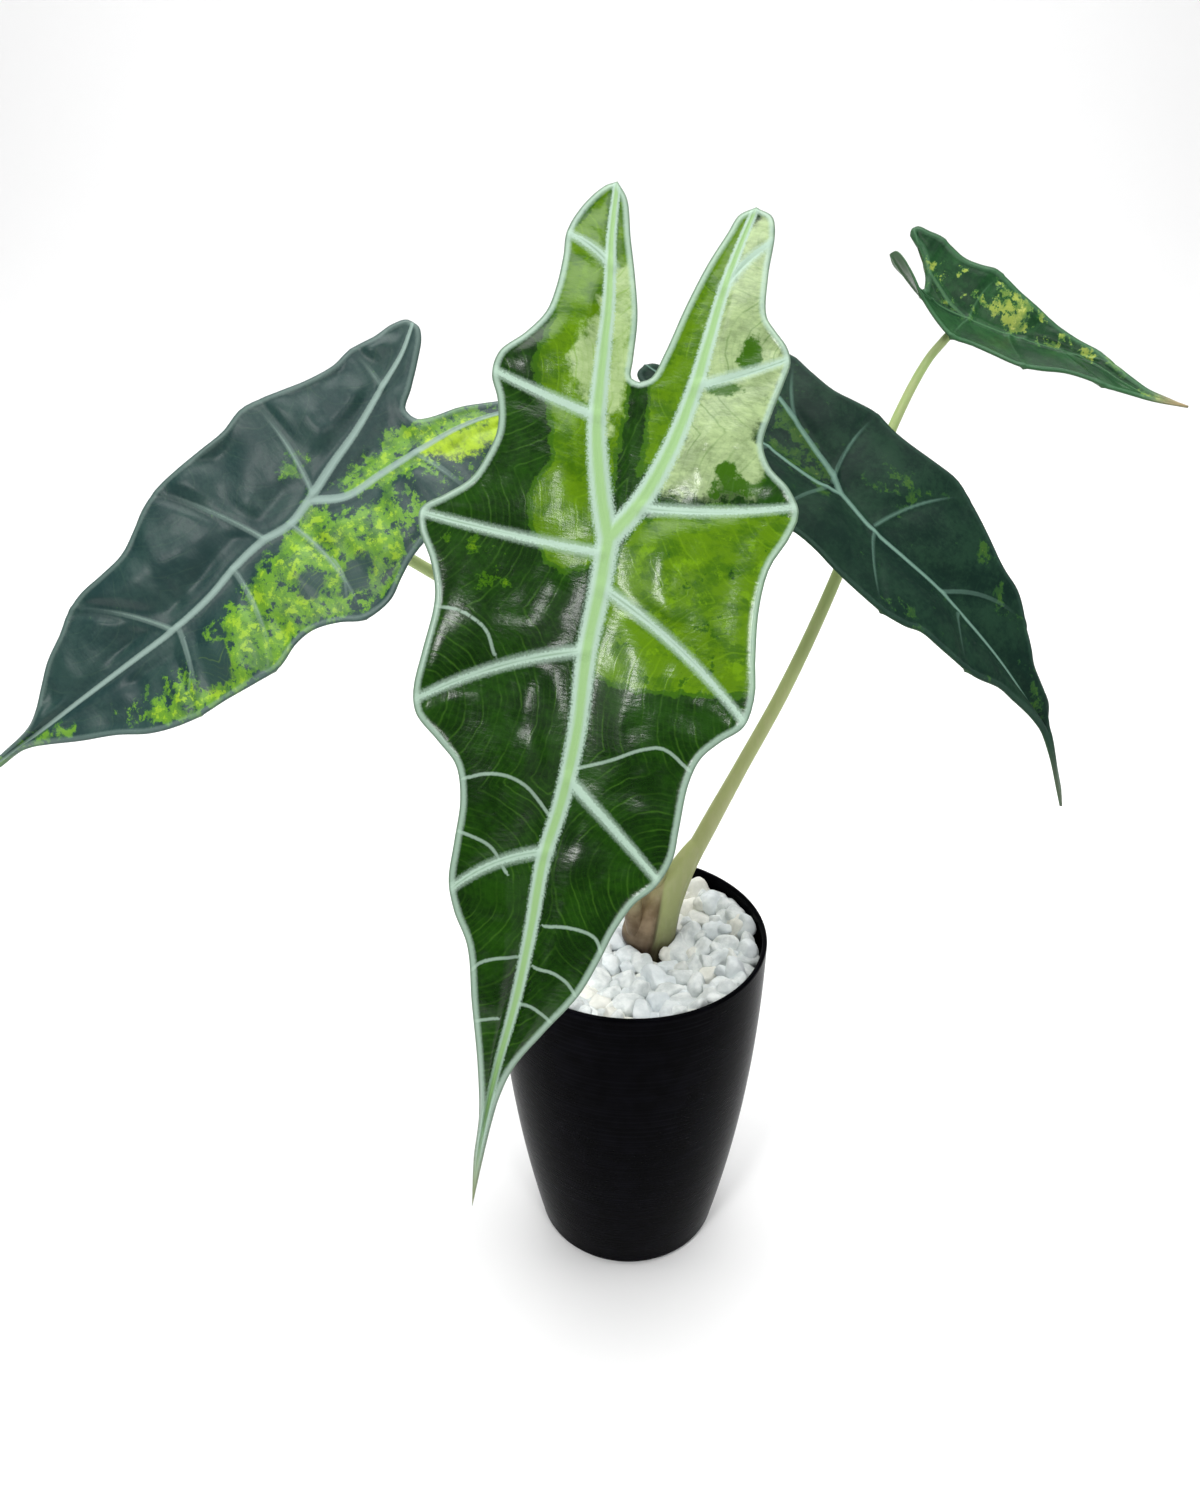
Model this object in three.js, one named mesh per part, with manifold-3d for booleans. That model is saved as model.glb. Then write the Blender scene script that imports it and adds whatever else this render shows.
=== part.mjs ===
// Variegated kris plant in a black pot topped with white pebbles.
// Millimetres, +Z up, the middle of the pot's underside at the origin, the largest leaf toward -Y.

import * as THREE from 'three';
import { mergeVertices } from 'three/addons/utils/BufferGeometryUtils.js';
import Module from 'manifold-3d';

const wasm = await Module();
wasm.setup();

// Pot
const POT_HEIGHT = 124;
const RIM_RADIUS = 45;
const BASE_RADIUS = 31.6;
const POT_WALL = 1.6;
const POT_FLOOR = 3;
const FOOT_ROUNDING = 3;
const POT_SIDES = 40;
const DRAIN_HOLES = 5;
const DRAIN_RADIUS = 2.5;
const DRAIN_RING_RADIUS = 18;

// Soil and pebbles
const FIT_GAP = 0.3;
const SOIL_TOP = 106;
const STEM_CENTRE = [7, 6.5];
const STEM_RADIUS = 6.2;
const STEM_FOOT = 84;
const COLLAR_GAP = 1;
const STONE_FREE_RADIUS = 7.5;
const PEBBLE_BED_TOP = 110.5;
const PEBBLE_PITCH = 8.7;
const PEBBLE_RADIUS = [4.2, 5];
const PEBBLE_RING_LIMIT = 38.6;
const PEBBLE_CENTRE_HEIGHT = 112.2;
const PEBBLE_RISE = 5.2;
const PEBBLE_SEED = 20;

// Leaf blades
const BLADE_THICKNESS = 0.8;
const ROW_SPACING = 6.5;
const ROW_MIN_GAP = 0.8;
const VEIN_FLANK = 1.6;
const VEIN_TOP = 0.3;
const VEIN_UNDER = 0.7;
const MIDRIB_TOP = 0.5;
const MIDRIB_UNDER = 1.5;
const EDGE_BAND = 1.6;
const SPAN_SAMPLES = 12;

// Stem sheath: centre x, centre y, height, half width across, half width front to back
const SHEATH = [
  [7, 6.5, STEM_FOOT, STEM_RADIUS - 1, STEM_RADIUS - 1],
  [7, 6.5, STEM_FOOT + 3, STEM_RADIUS, STEM_RADIUS],
  [7, 6.5, SOIL_TOP + 1, STEM_RADIUS, STEM_RADIUS],
  [6.9, 6.6, 112, 7.2, 6.4],
  [6.3, 6.9, 118, 9, 7.4],
  [7.4, 7.6, 124, 8.6, 6.8],
  [9.6, 8.8, 130, 7.4, 6],
  [13.2, 10.6, 136, 5.8, 5],
  [16.9, 12.2, 141, 4.4, 4.2],
  [20.4, 13.9, 147, 3.1, 3.1],
  [23.4, 15.1, 151.5, 2, 2],
];
const SHEATH_SIDES = 14;

// Leaf stalks: x, y, height, radius along each centre line, up to the underside of the blade
const STALK_SIDES = 8;
const STALK_STEPS = 2;
const STALKS = {
  front: [
    [2.6, 4.8, 115, 3], [1, 4, 126, 3], [0.4, 0.5, 145, 2.8], [0.2, -5, 170, 2.6],
    [0, -13, 200, 2.5], [-1.6, -25, 228, 2.4], [-4.6, -38, 252, 2.3], [-6.8, -48, 266, 2.2],
  ],
  left: [
    [4.2, 9, 114, 2.8], [3, 10.4, 126, 2.7], [-0.5, 15, 155, 2.5], [-12, 20.5, 190, 2.3],
    [-35, 24.5, 221, 2.1], [-64, 22, 243, 1.9], [-80, 14, 256, 1.8],
  ],
  right: [
    [8, 9.5, 112, 2.8], [8.5, 9.5, 124, 2.7], [9.2, 9.8, 136, 2.6], [10, 10, 147, 2.5],
    [11.5, 9.8, 160, 2.4], [14, 9.8, 175, 2.3], [18, 10.6, 195, 2.3], [26, 13, 220, 2.1],
    [33, 15.5, 240, 2], [41, 17, 254, 1.9], [49.5, 16.5, 261.5, 1.8],
  ],
  upper: [
    [12.1, 8.7, 115, 3.2], [12.6, 9, 119, 3.4], [14.1, 10.2, 127, 3.3], [18.6, 12.9, 140, 3.1],
    [25.9, 16.2, 155, 2.9], [35.5, 20, 174, 2.4], [49.3, 25.4, 201.5, 2.2],
    [63.9, 32.5, 237, 1.9], [77.9, 41.1, 280.4, 1.5], [86.6, 44.7, 298.6, 1.3],
    [91.6, 46, 304.8, 1.3],
  ],
};

// Leaf outlines, laid flat: x to the right seen from above, y toward the back lobes, the stalk's
// junction at 0, 0. The margin runs from the tip to the lobe tip, the inner margin from the notch.
const LEAVES = {
  front: {
    ribHalf: [0.8, 3.2, 1],
    columns: [0.35, 0.7],
    swell: 2,
    size: 1,
    junction: [-8.4, -57, 277.3],
    along: [0.204, 0.52, 0.829],
    facing: [0, -0.85, 0.53],
    tipBend: -0.002,
    lobeBend: -0.001,
    fold: { left: 6, right: 6 },
    lobeFold: { left: 2, right: 2 },
    midrib: [
      [0, 0], [0.5, -12], [0.5, -26], [2, -44], [1.8, -61], [0.4, -75], [0.8, -92], [0.6, -109],
      [-0.4, -124], [-0.9, -138], [-0.8, -151], [0, -164],
    ],
    sinus: [-0.5, 38],
    left: {
      costa: [
        [0, 0], [-3.5, 9], [-8, 25], [-9.5, 37], [-11.5, 56], [-14, 71], [-15.5, 85.5],
      ],
      outer: [
        [0, -164], [-1.9, -151], [-2.7, -139], [-5.5, -125.5], [-9.5, -111], [-13, -98],
        [-17.5, -90.5], [-20, -84], [-20.5, -74.5], [-21, -65], [-23.5, -57.5], [-28.5, -53],
        [-34.5, -48], [-36.2, -43], [-36, -34], [-35.5, -24.5], [-36, -20], [-38.5, -13.5],
        [-42.5, -7], [-43, -2.5], [-38.5, 1.5], [-33.5, 6.5], [-31, 13], [-30, 19], [-31.5, 26],
        [-34, 31.5], [-33.5, 37], [-28.5, 43], [-25, 49], [-24, 55.5], [-24, 63.5], [-24.5, 70],
        [-22, 78], [-18, 84], [-15.5, 85.5],
      ],
      inner: [
        [-0.5, 38], [-2.5, 38.5], [-3, 43], [-4, 53], [-6.5, 62.5], [-9.5, 72], [-12.5, 82],
        [-15.5, 85.5],
      ],
      veins: [
        { from: [1, -73], to: [-19.5, -86], arch: 2 },
        { from: [0.5, -26], to: [-35.6, -45], arch: 2 },
        { from: [-1, -3.5], to: [-42.8, -3.5], arch: -0.6 },
        { from: [-8.5, 27.5], to: [-34, 32.5], arch: -0.5 },
        { from: [-12.5, 64], to: [-24.5, 69.5], arch: 0.8 },
      ],
    },
    right: {
      costa: [
        [0, 0], [5.5, 9.5], [10, 23.5], [12.5, 38.5], [13.5, 51], [14.5, 64], [16, 75], [18, 86],
      ],
      outer: [
        [0, -164], [0.3, -151], [0.8, -140], [1.5, -133], [3.5, -125], [9, -114.5], [15, -104],
        [18, -95], [20, -87.5], [23, -80.5], [27, -75.5], [29.5, -68.5], [29.5, -61.5],
        [29.5, -51], [31, -45], [34.5, -40.5], [39, -36], [40, -29], [38.5, -21], [37, -9.5],
        [37.5, 0], [40.5, 7.5], [41.5, 13.5], [38.5, 18.5], [33, 23], [30.5, 28], [31, 34.5],
        [32.5, 43.5], [33, 48.5], [31.5, 52], [28, 55.5], [25.5, 58.5], [24, 68.5], [23.5, 80.5],
        [22, 84.5], [18, 86],
      ],
      inner: [
        [-0.5, 38], [2, 39.5], [4, 46], [6.5, 58], [9.5, 69.5], [12.5, 78], [14.5, 83.5],
        [18, 86],
      ],
      veins: [
        { from: [2, -55.5], to: [27.3, -74], arch: 0.3 },
        { from: [0.5, -11], to: [38.8, -35], arch: 1.8 },
        { from: [5.5, 8.5], to: [41.2, 15], arch: -1.2 },
        { from: [12.5, 39], to: [33, 49.5], arch: -0.5 },
        { from: [14.5, 64], to: [23.6, 78], arch: 0.8 },
      ],
    },
  },
  left: {
    ribHalf: [0.8, 2.9, 1],
    columns: [0.5],
    swell: 1.6,
    size: 1,
    junction: [-90, 0, 269.3],
    along: [0.787, 0.283, 0.548],
    facing: [-0.094, -0.823, 0.56],
    tipBend: -0.0017,
    lobeBend: -0.002,
    fold: { left: 6, right: 6 },
    lobeFold: { left: 3, right: 3 },
    midrib: [
      [0, 0], [2, -8], [0.8, -17], [1.5, -27], [3.5, -38], [4, -52], [3, -67], [1.5, -86],
      [-0.5, -110], [-4, -135],
    ],
    sinus: [-2, 36.5],
    left: {
      costa: [
        [0, 0], [-4, 11], [-7.5, 22], [-13.5, 36], [-17.5, 45], [-23, 53],
      ],
      outer: [
        [-4, -135], [-3, -116], [-3, -103], [-5, -98], [-9, -92], [-13, -86], [-16.5, -78],
        [-19.5, -72.5], [-21, -66], [-21, -58], [-21.5, -50], [-24.5, -43], [-27.5, -37.5],
        [-29.5, -31], [-30, -23], [-30, -15], [-30, -7], [-32, 0.5], [-31, 6.5], [-29, 13],
        [-27, 20], [-26, 28], [-27, 34], [-26, 42], [-26, 48], [-24.8, 52], [-23, 53],
      ],
      inner: [
        [-2, 36.5], [-4.5, 36.5], [-8, 41], [-14, 48], [-18, 52], [-21, 53.5], [-23, 53],
      ],
      veins: [
        { from: [3.3, -52], to: [-20, -71.5], arch: 1.5 },
        { from: [0.6, -16], to: [-29.3, -32], arch: 1 },
        { from: [-1, 2], to: [-31.6, 4.5], arch: 1.5 },
        { from: [-13, 35], to: [-26.8, 34.5], arch: 0.5 },
      ],
    },
    right: {
      costa: [
        [0, 0], [6, 9], [7, 20], [8, 31], [9.5, 44], [12, 53], [18, 66],
      ],
      outer: [
        [-4, -135], [-0.5, -119], [0.5, -110], [2, -106], [5, -101], [11, -92], [17, -82],
        [23, -74], [26.5, -67], [29, -59], [30.5, -50], [32, -42], [33, -33], [31, -26],
        [31, -20], [34, -13], [37.5, -8], [38.5, -3], [38, 2], [35, 7.5], [32, 14], [30.5, 22],
        [32, 31], [33, 37], [30, 45], [27.5, 52], [27, 60], [25, 65], [22, 67], [18, 66],
      ],
      inner: [
        [-2, 36.5], [0, 37.5], [2, 41], [4.5, 48.5], [7.5, 54], [10.5, 59], [14, 64.5], [18, 66],
      ],
      veins: [
        { from: [4, -50], to: [29, -59], arch: 1 },
        { from: [1.5, -28], to: [33, -35], arch: 2 },
        { from: [2, -8], to: [37.8, -7], arch: 2.5 },
        { from: [8, 31], to: [33, 36.5], arch: 1 },
      ],
    },
  },
  right: {
    ribHalf: [0.8, 2.9, 1],
    columns: [0.5],
    swell: 1.6,
    size: 1,
    junction: [57.4, 10, 268],
    along: [-0.763, 0.386, 0.518],
    facing: [0.294, -0.506, 0.811],
    tipBend: -0.0055,
    lobeBend: -0.001,
    fold: { left: 11, right: 11 },
    lobeFold: { left: 4, right: 4 },
    midrib: [
      [0, 0], [-3, -13], [-2.5, -25], [-1, -38], [-0.5, -50], [0.5, -65], [1.3, -82], [1.9, -92],
      [0.1, -100], [-2.4, -107], [-5, -115],
    ],
    sinus: [3, 30],
    left: {
      costa: [
        [0, 0], [-3, 7], [-4, 15], [-4, 24], [-4.5, 45], [-6, 67],
      ],
      outer: [
        [-5, -115], [-3, -106.5], [-1.2, -100], [-0.3, -92], [-2, -85], [-6, -76], [-8.5, -70],
        [-15, -62], [-18, -56], [-21, -48], [-23, -41], [-27, -36], [-30, -28], [-31, -21],
        [-31, -13], [-30, -6], [-30, 1], [-31.5, 8], [-28, 15], [-25, 24], [-25, 33], [-22, 41],
        [-18, 50], [-14.5, 60], [-11, 66], [-6, 67],
      ],
      inner: [
        [3, 30], [1.5, 32], [1, 40], [0.5, 50], [-0.5, 60], [-2.5, 65.5], [-6, 67],
      ],
      veins: [
        { from: [-2, -47], to: [-17, -58], arch: 1 },
        { from: [-3, -14], to: [-29.5, -29], arch: 1.5 },
        { from: [-2, 4], to: [-31.5, 8], arch: 1.5 },
        { from: [-4, 24], to: [-25.3, 31], arch: 1 },
      ],
    },
    right: {
      costa: [
        [0, 0], [4, 6], [7, 14], [11, 24], [14, 31], [18, 45], [23, 60],
      ],
      outer: [
        [-5, -115], [-2.6, -111.5], [-0.2, -105], [2.4, -98], [4, -92], [8, -87], [9, -82],
        [10.5, -75], [13, -71], [17, -64], [21, -56], [22, -48], [26, -37], [29, -29], [31, -22],
        [30, -13], [29.5, -6], [30, 1], [31.5, 8], [30, 15], [28.5, 22], [29.5, 31], [31, 38],
        [28.5, 46], [27, 54], [26, 59], [23, 60],
      ],
      inner: [
        [3, 30], [5, 31.5], [8, 37], [12, 46], [16, 55], [19, 59.5], [23, 60],
      ],
      veins: [
        { from: [0, -40], to: [16.5, -65], arch: 3 },
        { from: [-1, -13], to: [29.5, -27.5], arch: 2 },
        { from: [1.5, 4], to: [31.3, 7], arch: 2 },
        { from: [11, 24], to: [31, 37], arch: 1.5 },
      ],
    },
  },
  upper: {
    ribHalf: [0.6, 1.9, 0.7],
    columns: [0.5],
    swell: 0.9,
    size: 1.06,
    junction: [96.8, 48, 309.7],
    along: [-0.857, 0.2, 0.475],
    facing: [0.283, -0.59, 0.757],
    tipBend: 0.006,
    lobeBend: 0.006,
    fold: { left: 18, right: 27 },
    lobeFold: { left: 75, right: 27 },
    midrib: [
      [0, 0], [3, -13], [6, -25], [7.2, -33], [6.5, -39], [3.6, -46], [1.2, -54], [1, -65],
    ],
    sinus: [1, 14],
    left: {
      costa: [
        [0, 0], [-2.5, 5], [-4, 10], [-4, 18], [-3.5, 28],
      ],
      outer: [
        [1, -65], [-0.5, -58], [-2, -51], [-4.5, -44], [-5.5, -38], [-7.5, -31], [-12, -24],
        [-14.5, -17], [-14.5, -11], [-15, -4], [-17, 2], [-15, 8], [-13, 13], [-12, 18],
        [-9, 23.5], [-6, 27.5], [-3.5, 28],
      ],
      inner: [
        [1, 14], [-0.5, 15], [-1, 20], [-1.5, 25], [-3.5, 28],
      ],
      veins: [
        { from: [6.5, -28], to: [-4.8, -42], arch: 1 },
        { from: [3, -13], to: [-14, -20], arch: 1 },
        { from: [0, -1], to: [-17, 2], arch: 0.5 },
        { from: [-4, 11], to: [-12.6, 16], arch: 0.5 },
      ],
    },
    right: {
      costa: [
        [0, 0], [1.5, 6], [3.5, 11], [6, 17], [9, 22], [12, 26.5],
      ],
      outer: [
        [1, -65], [2.1, -60], [3.2, -54], [5.4, -49], [8.5, -43], [11, -38], [12, -31],
        [13, -24], [14.5, -17], [15.5, -10], [16.5, -5], [17, -1], [15.5, 4], [14.5, 9],
        [15, 14], [15.5, 18], [14.5, 22], [13.5, 25.5], [12, 26.5],
      ],
      inner: [
        [1, 14], [3, 15], [6, 17.5], [8.5, 20.5], [9.5, 24], [10.3, 26], [12, 26.5],
      ],
      veins: [
        { from: [5.5, -30], to: [9, -42.5], arch: 1 },
        { from: [3.5, -17], to: [13.5, -22.5], arch: 1 },
        { from: [0.5, -1], to: [16.7, -3], arch: 1.5 },
        { from: [6, 17], to: [15.4, 17], arch: 0.5 },
      ],
    },
  },
};

// Shades
const COLOURS = {
  pot: 0x17171a,
  soil: 0x3b2a1c,
  pebbles: 0xe9e9e4,
  stalks: 0x8f9a63,
  frontLeaf: 0x2a5a12,
  leftLeaf: 0x33523a,
  rightLeaf: 0x2c5540,
  upperLeaf: 0x2f6238,
};

function seededDraw(seed) {
  let state = seed;
  return () => {
    state = (state * 1664525 + 1013904223) % 4294967296;
    return state / 4294967296;
  };
}

function mix(a, b, share) {
  return a + (b - a) * share;
}

function solidFrom(geometry) {
  const bare = new THREE.BufferGeometry();
  bare.setAttribute('position', geometry.getAttribute('position'));
  bare.setIndex(geometry.getIndex());
  const merged = mergeVertices(bare, 1e-4);
  const indices = Array.from(merged.getIndex().array);
  const kept = [];
  for (let i = 0; i < indices.length; i += 3) {
    const [a, b, c] = indices.slice(i, i + 3);
    if (a !== b && b !== c && c !== a) kept.push(a, b, c);
  }
  return new wasm.Manifold(new wasm.Mesh({
    numProp: 3,
    vertProperties: Float32Array.from(merged.getAttribute('position').array),
    triVerts: Uint32Array.from(kept),
  }));
}

function geometryFrom(solid) {
  const mesh = solid.getMesh();
  const geometry = new THREE.BufferGeometry();
  geometry.setAttribute('position', new THREE.BufferAttribute(mesh.vertProperties, 3));
  geometry.setIndex(new THREE.BufferAttribute(mesh.triVerts, 1));
  return geometry;
}

function turned(profile, sides) {
  const points = profile.map(([radius, height]) => new THREE.Vector2(radius, height));
  return new THREE.LatheGeometry(points, sides).rotateX(Math.PI / 2);
}

function uprightCylinder(radius, bottom, top, x, y, sides) {
  const geometry = turned([[0, bottom], [radius, bottom], [radius, top], [0, top]], sides);
  return geometry.translate(x, y, 0);
}

// A closed skin over rings of equal count, with both ends capped
function skinned(rings) {
  const count = rings[0].length;
  const positions = rings.flat().flatMap((point) => [point.x, point.y, point.z]);
  const indices = [];
  for (let r = 0; r + 1 < rings.length; r++) {
    for (let i = 0; i < count; i++) {
      const a = r * count + i;
      const b = r * count + (i + 1) % count;
      indices.push(a, b, b + count, a, b + count, a + count);
    }
  }
  const last = (rings.length - 1) * count;
  for (let i = 1; i + 1 < count; i++) {
    indices.push(0, i + 1, i, last, last + i, last + i + 1);
  }
  const geometry = new THREE.BufferGeometry();
  geometry.setAttribute('position', new THREE.Float32BufferAttribute(positions, 3));
  geometry.setIndex(indices);
  return geometry;
}

// Pot
function potRadius(height) {
  const up = height / POT_HEIGHT;
  return BASE_RADIUS + (RIM_RADIUS - BASE_RADIUS) * (1 - (1 - up) ** 2);
}

function potWallHeights(from, to, steps) {
  return Array.from({ length: steps + 1 }, (_, i) => from + (to - from) * i / steps);
}

function makePot() {
  const profile = [[0, 0]];
  for (const part of [0, 0.5, 1]) {
    const turn = part * Math.PI / 2;
    const radius = potRadius(0) - FOOT_ROUNDING * (1 - Math.sin(turn)) + 0.6 * part;
    profile.push([radius, FOOT_ROUNDING * (1 - Math.cos(turn))]);
  }
  for (const height of potWallHeights(15, POT_HEIGHT - 1.2, 7)) {
    profile.push([potRadius(height), height]);
  }
  profile.push([RIM_RADIUS - 0.3, POT_HEIGHT - 0.3]);
  profile.push([RIM_RADIUS - POT_WALL / 2, POT_HEIGHT]);
  profile.push([RIM_RADIUS - POT_WALL + 0.2, POT_HEIGHT - 0.3]);
  for (const height of potWallHeights(POT_FLOOR + 2, POT_HEIGHT - 1.2, 7).reverse()) {
    profile.push([potRadius(height) - POT_WALL, height]);
  }
  profile.push([potRadius(POT_FLOOR) - POT_WALL - 2, POT_FLOOR]);
  profile.push([0, POT_FLOOR]);
  let solid = solidFrom(turned(profile, POT_SIDES));
  for (let i = 0; i < DRAIN_HOLES; i++) {
    const angle = 2 * Math.PI * i / DRAIN_HOLES;
    const x = DRAIN_RING_RADIUS * Math.cos(angle);
    const y = DRAIN_RING_RADIUS * Math.sin(angle);
    const hole = uprightCylinder(DRAIN_RADIUS, -1, POT_FLOOR + 1, x, y, 12);
    solid = solid.subtract(solidFrom(hole));
  }
  return geometryFrom(solid);
}

// Soil
function makeSoil() {
  const inset = POT_WALL + FIT_GAP;
  const bottom = POT_FLOOR + FIT_GAP;
  const profile = [[0, bottom], [potRadius(bottom) - inset - 2, bottom]];
  for (const height of potWallHeights(bottom + 2, SOIL_TOP, 7)) {
    profile.push([potRadius(height) - inset - 0.1, height]);
  }
  profile.push([0, SOIL_TOP]);
  const solid = solidFrom(turned(profile, POT_SIDES));
  const [x, y] = STEM_CENTRE;
  const radius = STEM_RADIUS + FIT_GAP + 0.1;
  const hole = uprightCylinder(radius, STEM_FOOT - FIT_GAP, SOIL_TOP + 1, x, y, 24);
  return geometryFrom(solid.subtract(solidFrom(hole)));
}

// A block with its eight corners drawn in and out
function roughStone(radius, draw) {
  const box = new THREE.BoxGeometry(1, 1, 1);
  box.deleteAttribute('normal');
  box.deleteAttribute('uv');
  const stone = mergeVertices(box);
  const corners = stone.getAttribute('position');
  for (let i = 0; i < corners.count; i++) {
    const corner = new THREE.Vector3().fromBufferAttribute(corners, i);
    corner.x *= 0.75 + 0.5 * draw();
    corner.y *= 0.75 + 0.5 * draw();
    corner.z *= 0.75 + 0.5 * draw();
    corner.setLength(radius * (0.92 + 0.2 * draw()));
    corners.setXYZ(i, corner.x, corner.y, corner.z);
  }
  return stone;
}

// Pebbles: a dished bed with angular stones sunk into it on a jittered triangular grid
function makePebbles() {
  const draw = seededDraw(PEBBLE_SEED);
  const bottom = SOIL_TOP + FIT_GAP;
  const edge = RIM_RADIUS;
  const top = PEBBLE_BED_TOP;
  const bed = turned([[0, bottom], [edge, bottom], [edge, top + PEBBLE_RISE], [0, top]], POT_SIDES);
  let solid = solidFrom(bed);
  const limit = PEBBLE_RING_LIMIT;
  const reach = Math.ceil(limit / PEBBLE_PITCH) + 1;
  for (let row = -reach; row <= reach; row++) {
    for (let column = -reach; column <= reach; column++) {
      const radius = mix(PEBBLE_RADIUS[0], PEBBLE_RADIUS[1], draw());
      const turn = [draw() * 6.28, draw() * 6.28, draw() * 6.28];
      const jitter = [1.6 * (draw() - 0.5), 1.6 * (draw() - 0.5), 2.2 * (draw() - 0.5)];
      let x = PEBBLE_PITCH * (column + (row & 1) / 2) + jitter[0] - 1.4;
      let y = PEBBLE_PITCH * row * Math.sqrt(0.75) + jitter[1] + 1.1;
      const fromMiddle = Math.hypot(x, y);
      const fromStem = Math.hypot(x - STEM_CENTRE[0], y - STEM_CENTRE[1]);
      if (fromMiddle > limit + 3.5 || fromStem < STONE_FREE_RADIUS) continue;
      const pull = Math.min(1, (limit - 0.6 * draw()) / fromMiddle);
      x *= pull;
      y *= pull;
      const stone = roughStone(radius, draw);
      stone.rotateX(turn[0]).rotateY(turn[1]).rotateZ(turn[2]);
      const rise = PEBBLE_RISE * (Math.hypot(x, y) / limit) ** 2;
      stone.translate(x, y, PEBBLE_CENTRE_HEIGHT + rise + jitter[2]);
      solid = solid.add(solidFrom(stone));
    }
  }
  const inset = POT_WALL + FIT_GAP + 0.1;
  const inside = turned([
    [0, bottom], [potRadius(bottom) - inset, bottom], [potRadius(POT_HEIGHT) - inset, POT_HEIGHT],
    [0, POT_HEIGHT],
  ], POT_SIDES);
  const collar = skinned(sheathRings(COLLAR_GAP, POT_HEIGHT));
  return geometryFrom(solid.intersect(solidFrom(inside)).subtract(solidFrom(collar)));
}

// Lines through points
class Line {
  constructor(points) {
    this.points = points;
    this.lengths = [0];
    for (let i = 1; i < points.length; i++) {
      this.lengths.push(this.lengths[i - 1] + points[i].distanceTo(points[i - 1]));
    }
    this.total = this.lengths[points.length - 1];
  }

  at(length) {
    const wanted = Math.min(Math.max(length, 0), this.total);
    let i = 1;
    while (i < this.lengths.length - 1 && this.lengths[i] < wanted) i++;
    const share = (wanted - this.lengths[i - 1]) / (this.lengths[i] - this.lengths[i - 1]);
    return this.points[i - 1].clone().lerp(this.points[i], share);
  }

  closest(point) {
    let best = this.points[0];
    for (let i = 1; i < this.points.length; i++) {
      const piece = new THREE.Line3(this.points[i - 1], this.points[i]);
      const candidate = piece.closestPointToPoint(point, true, new THREE.Vector3());
      if (candidate.distanceTo(point) < best.distanceTo(point)) best = candidate;
    }
    return best;
  }

  nearest(point) {
    let best = 0;
    this.points.forEach((candidate, i) => {
      if (candidate.distanceTo(point) < this.points[best].distanceTo(point)) best = i;
    });
    return this.lengths[best];
  }
}

function curved(points) {
  const curve = new THREE.CatmullRomCurve3(
    points.map(([x, y]) => new THREE.Vector3(x, y, 0)), false, 'centripetal',
  );
  return curve.getPoints((points.length - 1) * SPAN_SAMPLES);
}

function smooth(value) {
  const t = Math.min(Math.max(value, 0), 1);
  return t * t * (3 - 2 * t);
}

// The bent and folded sheet that a flat leaf outline lies on
class Sheet {
  constructor(leaf) {
    this.leaf = leaf;
    this.junction = new THREE.Vector3(...leaf.junction);
    this.along = new THREE.Vector3(...leaf.along).normalize();
    this.facing = new THREE.Vector3(...leaf.facing);
    this.facing.addScaledVector(this.along, -this.facing.dot(this.along)).normalize();
    this.across = new THREE.Vector3().crossVectors(this.along, this.facing);
    this.midrib = curved(leaf.midrib);
  }

  midribX(y) {
    if (y >= 0) return 0;
    for (let i = 1; i < this.midrib.length; i++) {
      const before = this.midrib[i - 1];
      const after = this.midrib[i];
      if (after.y <= y) return mix(before.x, after.x, (before.y - y) / (before.y - after.y));
    }
    return this.midrib[this.midrib.length - 1].x;
  }

  base(x, y) {
    const { size, tipBend, lobeBend, fold, lobeFold, sinus } = this.leaf;
    const bend = y < 0 ? tipBend : lobeBend;
    const turn = bend * y * size;
    const ribX = this.midribX(y);
    const side = x < ribX ? 'left' : 'right';
    const lobe = Math.min(Math.max(y / sinus[1] / 2, 0), 1) ** 2.5;
    const angle = THREE.MathUtils.degToRad(mix(fold[side], lobeFold[side], lobe));
    const out = (ribX + (x - ribX) * Math.cos(angle)) * size;
    const up = Math.abs(x - ribX) * Math.sin(angle) * size;
    return this.junction.clone()
      .addScaledVector(this.across, out)
      .addScaledVector(this.along, Math.sin(turn) / bend - Math.sin(turn) * up)
      .addScaledVector(this.facing, (1 - Math.cos(turn)) / bend + Math.cos(turn) * up);
  }

  normal(x, y) {
    const overX = this.base(x + 1, y).sub(this.base(x - 1, y));
    const overY = this.base(x, y + 1).sub(this.base(x, y - 1));
    return overX.cross(overY).normalize();
  }

  point(x, y, lift) {
    return this.base(x, y).addScaledVector(this.normal(x, y), lift);
  }
}

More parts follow.
